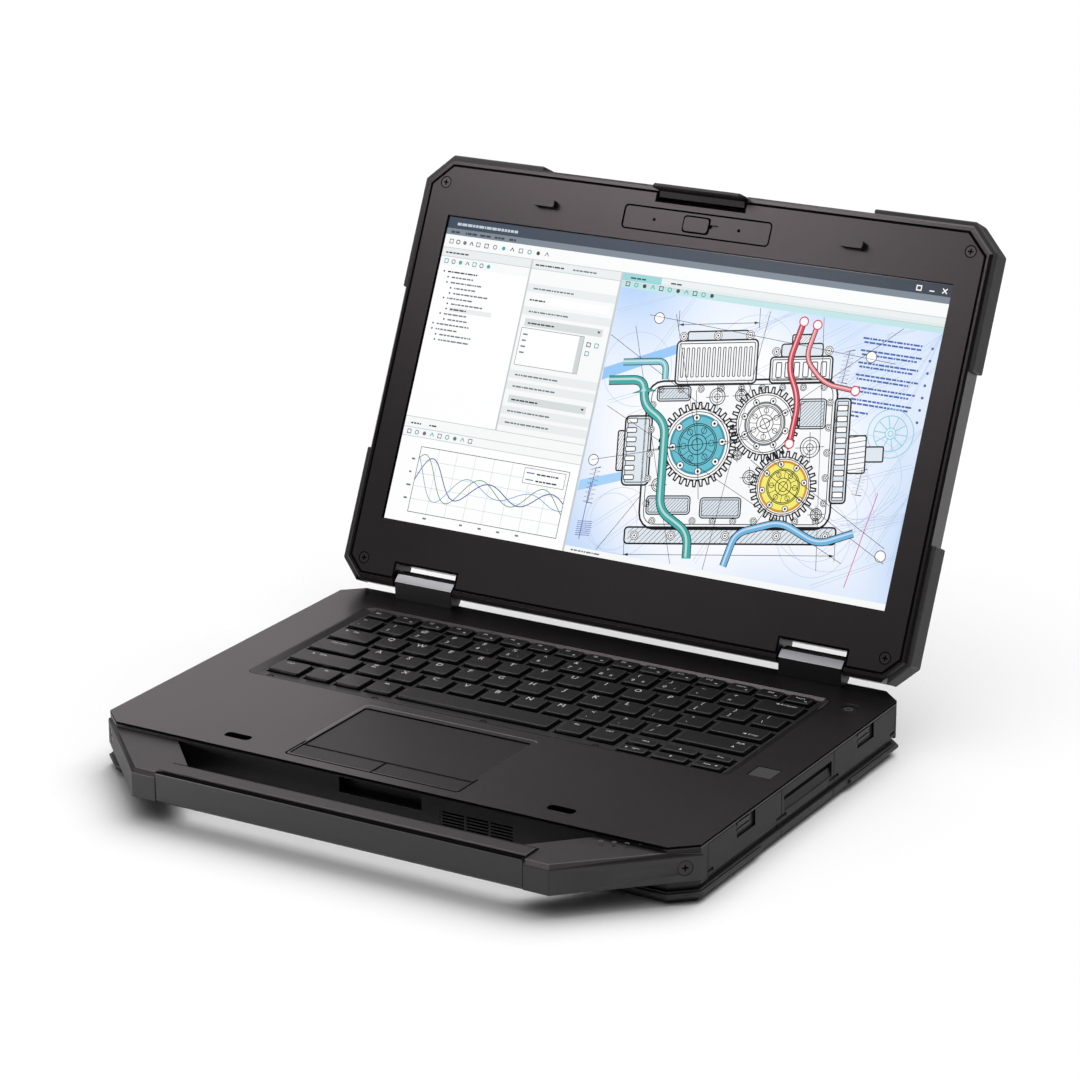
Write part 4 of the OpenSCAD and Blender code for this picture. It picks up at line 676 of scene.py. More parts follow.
# %% Print the legends on the keys
TURNS = {"right": 0, "up": 1, "left": 2, "down": 3}
for node, legends in LEGENDS.items():
    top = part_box(node)[1].z + PRINT_RISE * MM
    marks = []
    for (x0, y0, x1, y1), legend in zip(cap_places[node], legends):
        for text, size, across, deep in legend:
            if text in TURNS:
                shape = arrow(size * MM, 0.8 * size * MM, TURNS[text])
            elif text == "dot":
                shape = bar(size * MM, 0.5 * size * MM)
            elif text == " ":
                continue
            else:
                shape = glyph(text, size)
            marks.append((*shape, x0 + across * (x1 - x0), y0 + deep * (y1 - y0), top))
    printed(node + "_legends", marks, node, "light_lens", legend_ink)
print("legends:", sum(len(m) for row in LEGENDS.values() for m in row))

# %% [markdown]
# ## The lit screen
# The screen is one flat slab behind the bezel, and the picture on it is drawn with flat shapes in
# thin layers, in millimetres from the screen's lower left corner. Each shape has one colour, kept in
# an attribute called tint, and the screen's material lets that colour shine. The picture is a plain
# engineering program: a tree, a form, a chart, and a drawing of a gear train. Words are grey bars.

# %% Shapes for the picture
SCREEN_W, SCREEN_H = 309.42, 173.95
SCREEN_LEFT, SCREEN_UP = -SCREEN_W / 2, 33.05
GLASS_TOP = 5.41
LAYER = 0.01
picture = []
dice = np.random.default_rng(7)


def srgb(*values):
    """Screen values from 0 to 255, turned to linear light."""
    v = np.array(values) / 255
    return np.where(v < 0.04045, v / 12.92, ((v + 0.055) / 1.055) ** 2.4)


def paint(layer, colour, shape):
    """Keeps a shape (points, faces) for the picture; colour is one value or one per point."""
    points, faces = shape
    tint = np.broadcast_to(colour, (len(points), 3))
    picture.append((layer, np.asarray(points, float), faces, tint))


def rect(x0, y0, x1, y1):
    """A box as a shape: its four corners and one face."""
    return np.array([[x0, y0], [x1, y0], [x1, y1], [x0, y1]]), [(0, 1, 2, 3)]


# %% Lines, circles and words for the picture
def corner_ways(points, closed=True, least=0.35):
    """At each corner the mean of the normals of the two stretches that meet there, lengthened so that
    a line pushed out along it keeps its width. A higher least limits that at sharp corners."""
    p = np.asarray(points, float)
    step = np.roll(p, -1, 0) - p
    if not closed:
        step[-1] = step[-2]
    normal = np.column_stack([-step[:, 1], step[:, 0]])
    normal /= np.maximum(np.linalg.norm(normal, axis=1, keepdims=True), 1e-9)
    before = np.roll(normal, 1, 0)
    if not closed:
        before[0] = normal[0]
    mean = normal + before
    return mean / np.maximum((mean * normal).sum(1, keepdims=True), least)


def line(points, width, closed=False):
    """A line of even width: both sides are pushed out from the points by half the width."""
    p = np.asarray(points, float)
    side = corner_ways(p, closed) * width / 2
    n = len(p)
    index = np.arange(n if closed else n - 1)
    ahead = (index + 1) % n
    faces = np.column_stack([index, index + n, ahead + n, ahead]).tolist()
    return np.concatenate([p + side, p - side]), faces


def circle(x, y, r, count=40, start=0.0, turn=2 * math.pi):
    """Points at even steps of angle round a centre; a part turn also includes its last point."""
    whole = abs(turn - 2 * math.pi) < 1e-9
    a = start + turn * np.arange(count) / (count if whole else count - 1)
    return np.column_stack([x + r * np.cos(a), y + r * np.sin(a)])


def filled(points):
    """An outline as a shape: its points and one face."""
    return points, [tuple(range(len(points)))]


def solid(layer, colour, points):
    """A filled shape in the picture."""
    paint(layer, colour, filled(points))


def stroke(layer, colour, points, width, closed=False):
    """A line through the points in the picture."""
    paint(layer, colour, line(points, width, closed))


def outline(layer, colour, points, width):
    """A closed line in the picture."""
    stroke(layer, colour, points, width, True)


def box_line(layer, colour, x0, y0, x1, y1, width):
    """The outline of a box in the picture."""
    outline(layer, colour, rect(x0, y0, x1, y1)[0], width)


def words(layer, colour, x, y, length, height=0.85, gap=0.45):
    """A greeked line of text: bars of uneven length with small gaps, up to the given length."""
    spans = dice.uniform(0.8, 3.6, 60)
    ends = np.cumsum(spans + gap)
    for start, end in zip(ends - spans - gap, ends - gap):
        if end > length:
            break
        paint(layer, colour, rect(x + start, y, x + end, y + height))


# %% The window and its bars
SLATE, SLATE_LIGHT = srgb(52, 66, 82), srgb(120, 132, 144)
WHITE, PAPER, PANEL = srgb(253, 253, 254), srgb(246, 248, 248), srgb(232, 236, 236)
RULE, INK, GREY_INK = srgb(196, 203, 205), srgb(52, 58, 66), srgb(110, 118, 124)
TEAL, MINT, BLUE = srgb(60, 170, 165), srgb(190, 226, 228), srgb(52, 86, 160)
LEFT_W, FORM_X, VIEW_X = 58.0, 59.0, 116.5
CHART_TOP, BAR_Y = 59.0, 167.6

paint(1, PAPER, rect(0, 0, SCREEN_W, SCREEN_H))
paint(2, np.array([SLATE, SLATE * 0.72, SLATE * 0.72, SLATE]), rect(0, BAR_Y, SCREEN_W, SCREEN_H))
paint(2, SLATE_LIGHT, rect(0, BAR_Y - 3.6, SCREEN_W, BAR_Y))
words(3, srgb(190, 202, 214), 6, BAR_Y + 2.0, 40, 1.5)
for i in range(5):
    words(3, INK, 3 + 9.5 * i, BAR_Y - 2.6, 7.5, 1.2)
for i, points in enumerate(([[0, 0], [2.6, 0], [2.6, 2.4], [0, 2.4]], [[0, 0.4], [2.8, 0.4]],
                            [[0, 0], [2.6, 2.6]])):
    stroke(3, WHITE, np.array(points) + [SCREEN_W - 20 + 7.4 * i, BAR_Y + 1.6], 0.6, closed=len(points) > 2)
stroke(3, WHITE, np.array([[0, 2.6], [2.6, 0]]) + [SCREEN_W - 5.2, BAR_Y + 1.6], 0.6)
paint(2, PANEL, rect(0, 151.5, SCREEN_W, 156.5))
paint(2, MINT, rect(VIEW_X, 148.2, SCREEN_W, 153.0))
paint(3, srgb(150, 212, 214), rect(VIEW_X, 152.2, VIEW_X + 24, 156.5))
for y in (156.5, 151.5, CHART_TOP, CHART_TOP - 6, CHART_TOP - 11):
    paint(3, RULE, rect(0, y - 0.2, VIEW_X if y < 150 else SCREEN_W, y + 0.2))


def icon_row(x, y, count, step, colours):
    """Small tool icons: open squares, dots and ticks in turn."""
    for i in range(count):
        cx, colour = x + i * step, colours[i % len(colours)]
        kind = i % 4
        if kind == 0:
            box_line(4, colour, cx - 1.1, y - 1.1, cx + 1.1, y + 1.1, 0.45)
        elif kind == 1:
            outline(4, colour, circle(cx, y, 1.1, 14), 0.5)
        elif kind == 2:
            solid(4, colour, circle(cx, y, 1.15, 12))
        else:
            stroke(4, colour, [[cx - 1.2, y - 0.9], [cx, y + 1.0], [cx + 1.2, y - 0.9]], 0.5)


icon_row(4.5, 160.2, 5, 4.4, [GREY_INK, INK])
icon_row(27.5, 160.2, 8, 5.6, [INK, GREY_INK, TEAL])
icon_row(4, 148.8, 7, 4.6, [TEAL, GREY_INK])
icon_row(VIEW_X + 4, 150.5, 11, 5.2, [INK, TEAL])
icon_row(4, CHART_TOP - 8.5, 9, 5.0, [GREY_INK, TEAL])
for colour, x, y, length in ((INK, 2.5, 153.3, 16), (INK, FORM_X + 2, 153.3, 20),
                             (GREY_INK, FORM_X + 26, 153.3, 16), (INK, VIEW_X + 5, 153.6, 12),
                             (INK, VIEW_X + 30, 153.6, 8),
                             (INK, 4, CHART_TOP - 4, 7), (INK, 16, CHART_TOP - 4, 7)):
    words(4, colour, x, y, length)
print("window:", len(picture), "shapes")

# %% The tree and the form
paint(2, WHITE, rect(0, CHART_TOP, LEFT_W, 146))
paint(3, RULE, rect(LEFT_W, CHART_TOP, LEFT_W + 1.0, 156.5))
paint(3, RULE, rect(VIEW_X - 1.2, 0, VIEW_X, 156.5))
for i, depth in enumerate([0, 1, 1, 2, 2, 1, 2, 2, 1, 2, 0, 0, 1, 1]):
    y = 142.5 - 3.0 * i
    if i == 7:
        paint(3, PANEL, rect(6 + 3.2 * depth, y - 0.9, 40, y + 1.8))
    solid(4, INK, circle(4 + 3.2 * depth, y + 0.45, 0.55, 8))
    words(4, INK if i in (0, 7) else GREY_INK, 6.4 + 3.2 * depth, y, dice.uniform(12, 24))
for y, kind in ((140, "label"), (133.5, "field"), (127, "label"), (120.5, "choice"), (98, "list"),
                (91, "label"), (84.5, "label"), (77, "choice"), (70.5, "label"), (64, "label")):
    if kind == "label":
        paint(3, PANEL, rect(FORM_X, y - 1.6, VIEW_X - 1.2, y + 3.0))
        words(4, GREY_INK, FORM_X + 4, y, 28)
    elif kind == "field":
        words(4, INK, FORM_X + 3, y, 12)
        paint(3, WHITE, rect(FORM_X + 16, y - 1.3, VIEW_X - 4, y + 2.9))
    elif kind == "choice":
        paint(3, srgb(214, 219, 219), rect(FORM_X + 3, y - 1.4, VIEW_X - 5, y + 2.9))
        words(4, INK, FORM_X + 5, y, 18)
        solid(4, INK, np.array([[VIEW_X - 8.4, y + 1.6], [VIEW_X - 7.3, y + 0.2], [VIEW_X - 6.2, y + 1.6]]))
    else:
        paint(3, WHITE, rect(FORM_X + 2, y - 1, FORM_X + 42, y + 20))
        box_line(4, GREY_INK, FORM_X + 2, y - 1, FORM_X + 42, y + 20, 0.3)
        paint(4, srgb(206, 212, 212), rect(FORM_X + 39, y - 1, FORM_X + 42, y + 20))
        for j in range(5):
            words(5, GREY_INK, FORM_X + 3.5, y + 16 - 3.4 * j, 3)
        icon_row(FORM_X + 45.5, y + 16, 1, 4, [INK])
        icon_row(FORM_X + 45.5, y + 11, 1, 4, [TEAL])
        icon_row(FORM_X + 50.5, y + 16, 1, 4, [TEAL])

print("tree and form:", len(picture), "shapes so far")

# %% The chart
PLOT = (14.0, 6.0, 110.0, 43.0)
GREEN = srgb(60, 150, 90)
paint(2, WHITE, rect(0, 0, VIEW_X - 1.2, CHART_TOP - 11))
box_line(5, INK, *PLOT, 0.35)
for i in range(1, 8):
    x = PLOT[0] + i * (PLOT[2] - PLOT[0]) / 8
    paint(3, RULE, rect(x - 0.12, PLOT[1], x + 0.12, PLOT[3]))
    words(4, GREY_INK, x - 1.5, PLOT[1] - 3, 3, 1.0)
for i in range(1, 5):
    y = PLOT[1] + i * (PLOT[3] - PLOT[1]) / 5
    paint(3, RULE, rect(PLOT[0], y - 0.12, PLOT[2], y + 0.12))
    words(4, GREY_INK, PLOT[0] - 4.5, y - 0.5, 3, 1.0)
along = np.linspace(0, 1, 140)
for colour, phase, fade, width in ((BLUE, 0.0, 1.1, 0.55), (GREEN, 0.9, 0.7, 0.45),
                                   (srgb(90, 150, 205), 2.1, 1.6, 0.4)):
    swing = np.exp(-fade * along) * np.sin(along * 15.5 + phase) * (0.75 + 0.25 * np.cos(along * 6))
    stroke(6, colour, np.column_stack([PLOT[0] + along * (PLOT[2] - PLOT[0]), 24.0 + 15.5 * swing]), width)
KEY_BOX = (PLOT[2] - 28, PLOT[3] - 10, PLOT[2] - 2, PLOT[3] - 1.5)
paint(7, WHITE, rect(*KEY_BOX))
box_line(8, INK, *KEY_BOX, 0.25)
for i, colour in enumerate((BLUE, GREEN)):
    paint(8, colour, rect(PLOT[2] - 26.5, PLOT[3] - 4.4 - 3.8 * i, PLOT[2] - 21.5, PLOT[3] - 3.8 - 3.8 * i))
    words(8, INK, PLOT[2] - 20, PLOT[3] - 4.7 - 3.8 * i, 15)

print("chart:", len(picture), "shapes so far")

# %% The drawing's paper and its faint lines
VIEW = (VIEW_X, 3.5, SCREEN_W, 148.2)
columns, rows = 28, 20
grid_x, grid_y = np.meshgrid(np.linspace(VIEW[0], VIEW[2], columns), np.linspace(VIEW[1], VIEW[3], rows))
far = np.hypot((grid_x - 205) / 95, (grid_y - 68) / 75)
haze = np.clip((far - 0.62) / 0.75, 0, 1) * (0.75 + 0.25 * np.sin(grid_x / 17 + grid_y / 23))
paper = (1 - haze[..., None]) * srgb(252, 252, 254) + haze[..., None] * srgb(178, 209, 248)
cell = np.arange(columns * rows).reshape(rows, columns)
quads = np.stack([cell[:-1, :-1], cell[:-1, 1:], cell[1:, 1:], cell[1:, :-1]], -1).reshape(-1, 4).tolist()
paint(2, paper.reshape(-1, 3), (np.column_stack([grid_x.ravel(), grid_y.ravel()]), quads))


def clipped(points):
    """Keeps a line inside the drawing's window by clamping its points."""
    return np.clip(points, [VIEW[0] + 0.3, VIEW[1] + 0.3], [VIEW[2] - 0.3, VIEW[3] - 0.3])


FAINT, FAINT_TEAL = srgb(186, 205, 232), srgb(132, 205, 214)
for x, y, r in dice.uniform([VIEW_X + 20, 20, 6], [SCREEN_W - 25, 130, 26], (26, 3)):
    outline(3, FAINT, clipped(circle(x, y, r, 40)), 0.28)
for x, y, a, n in dice.uniform([VIEW_X, 5, 0.2, 20], [SCREEN_W, 145, 1.3, 90], (44, 4)):
    ends = np.array([[x, y], [x + n * math.cos(a), y + n * math.sin(a)]])
    stroke(3, FAINT, clipped(ends), 0.28)
    stroke(3, FAINT, clipped(ends + [1.6, -1.2]), 0.22)
for colour, band in ((srgb(150, 200, 246), [[0.5, 96], [62, 126], [60, 130], [0.5, 103]]),
                     (srgb(168, 210, 248), [[0.5, 34], [48, 52], [47, 56], [0.5, 40]])):
    solid(4, colour, np.array(band) + [VIEW_X, 0])
NOTE_BLUE = srgb(58, 96, 170)
for i in range(7):
    y = 139.5 - 6.6 * i
    words(5, NOTE_BLUE, SCREEN_W - 44, y, 36 if i < 6 else 14, 1.0)
    words(5, NOTE_BLUE, SCREEN_W - 43, y - 2.1, 33 if i < 6 else 8, 1.0)
    solid(5, NOTE_BLUE, circle(SCREEN_W - 4, y, 0.8, 8))

print("paper and faint lines:", len(picture), "shapes so far")

# %% Helpers for the gear train
BLACK, RED, YELLOW = srgb(16, 18, 22), srgb(214, 56, 74), srgb(244, 236, 118)
PEN = 1.35


def gear(x, y, r, teeth, layer, width):
    """A toothed outline: the radius steps between root and tip, four points to each tooth."""
    a = (np.arange(teeth)[:, None] + np.array([0.0, 0.12, 0.42, 0.54])).ravel() * 2 * math.pi / teeth
    reach = np.tile([r - 3.2, r, r, r - 3.2], teeth)
    outline(layer, BLACK, np.column_stack([x + reach * np.cos(a), y + reach * np.sin(a)]), PEN * width)


def centre_lines(x, y, r, tilt, layer):
    """A cross of two thin lines, r long each way, turned by the tilt."""
    for turn in (tilt, tilt + math.pi / 2):
        way = np.array([math.cos(turn), math.sin(turn)]) * r
        stroke(layer, BLACK, [[x, y] - way, [x, y] + way], 0.26 * PEN)


def pipe(points, width, colour, layer):
    """A thick line with dark sides and a pale streak."""
    points = np.asarray(points, float)
    stroke(layer, BLACK, points, width + 0.9)
    stroke(layer + 1, colour, points, width)
    stroke(layer + 2, colour * 0.5 + 0.5, points + [-0.12 * width, 0.12 * width], width * 0.28)


def rounded_path(corners, r):
    """Cuts each inner corner of an open path by a quarter-round of 8 points (a quadratic curve)."""
    c = np.asarray(corners, float)
    t = np.linspace(0, 1, 8)[:, None]
    parts = [c[:1]]
    for a, b, d in zip(c[:-2], c[1:-1], c[2:]):
        p, q = b + (a - b) / np.linalg.norm(a - b) * r, b + (d - b) / np.linalg.norm(d - b) * r
        parts.append((1 - t) ** 2 * p + 2 * t * (1 - t) * b + t ** 2 * q)
    return np.concatenate(parts + [c[-1:]])


# %% The machine's frame of reference and its helpers
MACHINE_AT, MACHINE_TURN = np.array([210.0, 76.0]), math.radians(9)


def put(points):
    """Turns points of the machine by its tilt and shifts them to its place in the drawing."""
    c, s = math.cos(MACHINE_TURN), math.sin(MACHINE_TURN)
    return np.atleast_2d(np.asarray(points, float)) @ np.array([[c, s], [-s, c]]) + MACHINE_AT


def part(layer, points, fill=None, width=0.55, inner=0.0):
    """A closed part of the machine: a fill, a black outline, and an inner line moved to its left."""
    points = put(points)
    if fill is not None:
        solid(layer, fill, points)
    outline(layer + 1, BLACK, points, PEN * width)
    if inner:
        outline(layer + 1, BLACK, points + inner * corner_ways(points, least=2.0), 0.35 * PEN)


def plate(layer, u0, v0, u1, v1, r=1.5, fill=None, width=0.55, inner=0.0):
    """A part of the machine with the outline of a rounded box."""
    part(layer, rounded_outline([[u0, v0]], [[u1, v1]], r, 5)[0], fill, width, inner)


def hatch(layer, u0, v0, u1, v1, step, slope=1.0, width=0.25):
    """Even slanted lines across a box: each runs from the box's floor to its top, cut at the sides."""
    tall = v1 - v0
    for u in np.arange(u0 - tall * slope, u1, step):
        t = np.clip((np.array([u0, u1]) - u) / (tall * slope), 0, 1)
        if t[1] - t[0] > 0.05:
            stroke(layer, BLACK, put(np.column_stack([u + t * tall * slope, v0 + t * tall])), width)


def hex_bolt(layer, u, v, r):
    """A bolt head seen from above: a washer, six sides and a dot."""
    (x, y), = put([[u, v]])
    solid(layer, WHITE, circle(x, y, r * 1.25, 20))
    outline(layer + 1, BLACK, circle(x, y, r * 1.25, 20), 0.35)
    outline(layer + 1, BLACK, circle(x, y, r * 0.85, 6), 0.4)
    solid(layer + 1, BLACK, circle(x, y, r * 0.3, 8))


# %% The housing, its covers and its shafts
CAST, CAST_DARK = srgb(246, 248, 250), srgb(222, 230, 238)
plate(5, -68, -56, 56, -47, 2.0, CAST_DARK, 0.7)
hatch(6, -66, -55.5, 54, -47.5, 3.0)
plate(5, -60, -48, 52, 33, 9.0, CAST, 0.8, 2.6)
for u0, v0, u1, v1, r, shade, width, inner in (
        (-72, -24, -56, 14, 2.5, CAST_DARK, 0.7, 1.6), (-76, -16, -72, 6, 1.0, CAST, 0.6, 0),
        (-44, 31, 4, 55, 2.5, CAST, 0.7, 1.6), (-38, 55, -2, 60, 1.2, CAST_DARK, 0.6, 0),
        (12, 31, 48, 45, 2.0, CAST, 0.7, 1.4), (18, 45, 42, 52, 1.5, CAST_DARK, 0.6, 0),
        (24, 52, 36, 57, 1.0, CAST, 0.6, 0), (51, -34, 60, 22, 2.0, CAST_DARK, 0.7, 1.4),
        (60, -18, 70, 2, 1.2, CAST, 0.6, 0), (70, -12, 80, -4, 0.8, CAST_DARK, 0.6, 0)):
    plate(6, u0, v0, u1, v1, r, shade, width, inner)
for i in range(14):
    plate(8, -41 + 3.1 * i, 35, -39.6 + 3.1 * i, 51, 0.5, None, 0.35)
for i in range(6):
    plate(8, 15.5 + 5.2 * i, 34, 18.6 + 5.2 * i, 42, 0.6, None, 0.4)
for i in range(9):
    plate(8, 52.6, -31 + 5.8 * i, 58.4, -28 + 5.8 * i, 0.8, WHITE, 0.4)
for i in range(7):
    stroke(8, BLACK, put([[60, -16.5 + 2.9 * i], [70, -15 + 2.9 * i]]), 0.35)
    plate(8, -71, -21 + 5.2 * i, -65, -18.4 + 5.2 * i, 0.6, WHITE, 0.4)
hatch(7, 24.5, 52.2, 35.5, 56.8, 1.6)
hatch(7, -75.6, -15.6, -72.4, 5.6, 1.3, 0.5)
along, up = np.linspace(-52, 44, 9), np.linspace(-34, 20, 5)
for u, v in [(u, v) for v in (28.4, -43.6) for u in along] + [(u, v) for u in (-56.2, 48.0) for v in up]:
    hex_bolt(8, u, v, 1.5)
for u, v in ((-40.5, 57.4), (-20, 57.5), (-1, 57.4), (15, 48), (45.5, 48),
             (-62, -51.6), (-40, -51.6), (-8, -51.6), (22, -51.6), (50, -51.6)):
    hex_bolt(8, u, v, 1.9)

print("housing:", len(picture), "shapes so far")

# %% The gear train inside it
wheels = [((-28.0, -2.0), 23.0, 34, 0.25, srgb(104, 190, 206), srgb(60, 146, 170), 16.5),
          ((11.0, 9.0), 20.0, 30, 0.62, WHITE, GREY_INK, 12.0),
          ((24.0, -25.0), 19.0, 28, 1.10, YELLOW, srgb(214, 150, 20), 14.0)]
for (u, v), r, teeth, tilt, fill, rim_colour, disc in wheels:
    (x, y), = put([[u, v]])
    solid(8, WHITE, circle(x, y, r - 2.6, 48))
    gear(x, y, r, teeth, 10, 0.6)
    solid(9, fill, circle(x, y, disc, 48))
    outline(10, rim_colour, circle(x, y, disc - 0.6, 48), 1.3)
    for share in (0.84, 0.78, 0.50, 0.46, 0.24, 0.14):
        outline(11, BLACK, circle(x, y, r * share, 48), 0.45)
    for cx, cy in circle(x, y, r * 0.36, 6, tilt):
        outline(11, BLACK, circle(cx, cy, r * 0.07, 14), 0.35)
    for cx, cy in circle(x, y, r * 0.64, 8, tilt):
        solid(11, WHITE, circle(cx, cy, r * 0.085, 14))
        outline(12, BLACK, circle(cx, cy, r * 0.085, 14), 0.4)
        solid(12, BLACK, circle(cx, cy, r * 0.035, 8))
    for way in circle(0, 0, r, 12, tilt):
        stroke(11, BLACK, [np.array([x, y]) + way * 0.24, np.array([x, y]) + way * 0.46], 0.3)
    centre_lines(x, y, r * 1.3, tilt, 13)
for u0, v0, u1, v1 in ((-56, -40, -30, -30), (-24, -42, 0, -31), (30, 6, 46, 22), (-54, 22, -34, 30)):
    plate(8, u0, v0, u1, v1, 2.0, CAST_DARK, 0.5, 1.2)
    hatch(9, u0 + 1.6, v0 + 1.6, u1 - 1.6, v1 - 1.6, 2.0)
for u, v, r in ((-18, 24, 4.5), (-4, 24.5, 3.4), (38, -4, 5.5), (44, -40, 3.2),
                (-50, -24, 3.6), (4, -20, 3.8), (-4, -8, 2.6)):
    (x, y), = put([[u, v]])
    for share, width in ((1.0, 0.5), (0.72, 0.35), (0.35, 0.4)):
        outline(10, BLACK, circle(x, y, r * share, 24), width)
    centre_lines(x, y, r * 1.5, 0.2, 11)

print("gear train:", len(picture), "shapes so far")

# %% Pipes and springs
for path, r, width, colour in (
        ([[-84, 34], [-62, 34], [-62, 20], [-48, 10], [-48, -38], [-30, -50], [-30, -64]], 7, 4.4, TEAL),
        ([[-76, 44], [-50, 44], [-50, 34]], 5, 3.0, srgb(120, 196, 206)),
        ([[30, 64], [22, 40], [30, 22], [26, -2]], 9, 2.8, RED),
        ([[38, 62], [32, 44], [44, 30], [62, 26]], 7, 2.1, srgb(232, 120, 130)),
        ([[-8, -68], [-2, -50], [24, -44], [46, -56], [66, -50]], 7, 3.4, srgb(110, 180, 224))):
    pipe(put(rounded_path(path, r)), width, colour, 14)
for x, y in put([[30, 64], [38, 62], [26, -2], [62, 26]]):
    solid(17, WHITE, circle(x, y, 2.5, 18))
    outline(18, RED, circle(x, y, 2.5, 18), 0.7)
for u, v, length in ((54, 30, 18), (-92, -34, 20), (66, -30, 14)):
    turns = np.linspace(0, 1, 17)
    for swing, width in ((0.0, 0.3), (3.0 * (-1.0) ** np.arange(17), 0.5)):
        stroke(10, BLACK, put(np.column_stack([u + swing + turns * length * 0.2, v + turns * length])), width)
print("pipes and springs:", len(picture), "shapes so far")

# %% Leaders, balloons and measuring lines
for u0, v0, u1, v1 in ((-86, -68, -60, -30), (-88, 60, 84, -58), (-62, 70, 84, 40), (46, -70, 42, 70),
                       (-92, -10, -30, -2), (11, 9, 88, 62), (24, -25, 84, -66), (-28, -2, -46, 70),
                       (-84, 20, 60, -66), (-20, -70, 10, 70), (-70, 64, -40, -70)):
    stroke(13, BLACK, clipped(put([[u0, v0], [u1, v1]])), 0.28)
for points in put([[-86, -62], [-90, -10], [82, -62], [86, 60], [-56, 68], [70, 44]]):
    if VIEW[0] + 4 < points[0] < VIEW[2] - 4 and VIEW[1] + 4 < points[1] < VIEW[3] - 4:
        solid(13, WHITE, circle(*points, 3.0, 20))
        outline(14, BLACK, circle(*points, 3.0, 20), 0.4)
for v, u0, u1 in ((-62, -68, 56), (64, -44, 4)):
    stroke(12, BLACK, clipped(put([[u0, v], [u1, v]])), 0.3)
    for u, way in ((u0, 1), (u1, -1)):
        stroke(12, BLACK, clipped(put([[u, v - 3], [u, v + 8]])), 0.28)
        solid(12, BLACK, clipped(put([[u, v], [u + 3 * way, v + 0.8], [u + 3 * way, v - 0.8]][::way])))
WHEEL = np.array([292, 92])
for r in (13, 9.5, 3, 1.4):
    outline(5, FAINT_TEAL, clipped(circle(*WHEEL, r, 40)), 0.45)
for way in circle(0, 0, 1, 10):
    stroke(5, FAINT_TEAL, [WHEEL + 3 * way, WHEEL + 9.5 * way], 0.5)
stroke(10, srgb(214, 60, 150), [[284, 8], [292, 60]], 0.4)
stroke(10, srgb(60, 60, 190), [[124, 8], [124, 40]], 0.4)
for i in range(8):
    stroke(9, srgb(60, 70, 160), [[121, 10 + 1.1 * i], [130, 11 + 1.1 * i]], 0.3)
paint(2, PAPER, rect(VIEW_X, 0, SCREEN_W, 3.5))
words(3, GREY_INK, VIEW_X + 4, 1.2, 20)
print("shapes in the picture:", len(picture))

# %% The screen's slab and its light
glass_finish = principled("Screen glass", Base_Color=(0.008, 0.009, 0.010, 1), Roughness=0.18)[0]
glass_mesh = frame["nodes"]["screen_glass"].data.copy()
glass_mesh.materials.clear()
glass_mesh.materials.append(glass_finish)
new_piece("screen_face", glass_mesh, "lid", "screen_glass", "screen_glass")
light_finish, light_tree, light_shader = principled(
    "Screen light", Base_Color=(0.004, 0.004, 0.004, 1), Roughness=0.3, Specular_IOR_Level=0.2,
    Emission_Strength=1.0)
tint_node = light_tree.nodes.new("ShaderNodeAttribute")
tint_node.attribute_name = "tint"
light_tree.links.new(tint_node.outputs["Color"], light_shader.inputs["Emission Color"])

# %% The picture's mesh
counts = [len(points) for _, points, _, _ in picture]
starts = np.concatenate([[0], np.cumsum(counts)[:-1]])
heights = np.concatenate([np.full(len(points), GLASS_TOP + layer * LAYER) for layer, points, _, _ in picture])
spread = np.concatenate([points for _, points, _, _ in picture]) + [SCREEN_LEFT, SCREEN_UP]
all_faces = [tuple(int(start) + i for i in face)
             for start, (_, _, faces, _) in zip(starts, picture) for face in faces]
points = lid_to_frame(np.column_stack([spread, heights]) * MM)
screen_mesh = new_mesh("screen_picture", points, all_faces, light_finish)
tints = np.concatenate([tint for _, _, _, tint in picture])
tint_layer = screen_mesh.color_attributes.new("tint", "FLOAT_COLOR", "POINT")
tint_layer.data.foreach_set("color", np.column_stack([tints, np.ones(len(tints))]).ravel())
screen_light = new_piece("screen_picture", screen_mesh, "lid", "screen_glass")
screen_light.visible_glossy = False
screen_light.visible_diffuse = False
print("screen picture:", len(all_faces), "faces")

# %% [markdown]
# ## Small details
# The hinge blocks are bare metal on top and have black plastic below the slanted facet. The power
# button has its ring mark and a light bar, each status light has a small mark behind it, and the
# fingerprint reader is a paler, smoother square.

# %% The hinge blocks' black fronts
blocks = bpy.data.objects["hinge_blocks_dressed"]
second_finish(blocks, black_plastic, lambda x, y, z, n, e: z < hinge_z / MM + 1.9)


# %% [markdown]
# ## Seams
# Where two parts meet there is a thin black gap, and on a dark machine these lines draw the shape.
# The rim of a face is walked on the CAD mesh, moved inwards a little, and drawn as a black line just
# above the face.

# %% The rims of a level
LEVEL_SLACK = 0.03


def rims(node, level, flat=lambda points: points):
    """Closed rims of a node's faces at one height (mm), longest first, as (n, 2) arrays in mm: a side
    of a face belongs to a rim when the face beyond it leaves the level."""
    shape = welded(node)
    points = flat(np.array([v.co[:] for v in shape.verts])) / MM
    at_level = np.abs(points[:, 2] - level) < LEVEL_SLACK
    inside = {f for f in shape.faces if all(at_level[v.index] for v in f.verts)}
    ahead = {loop.vert.index: loop.link_loop_next.vert.index
             for f in shape.faces if f in inside for loop in f.loops
             if not all(g in inside for g in loop.edge.link_faces)}
    shape.free()
    found = []
    while ahead:
        rim = [next(iter(ahead))]
        while rim[-1] in ahead:
            rim.append(ahead.pop(rim[-1]))
        found.append(points[rim[:-1], :2])
    return sorted(found, key=lambda p: -np.ptp(p[:, 0]) * np.ptp(p[:, 1]))


def moved_in(points, reach):
    """A closed outline moved to its left by reach, along the mean of the normals at each corner."""
    return points + reach * corner_ways(points, least=0.5)


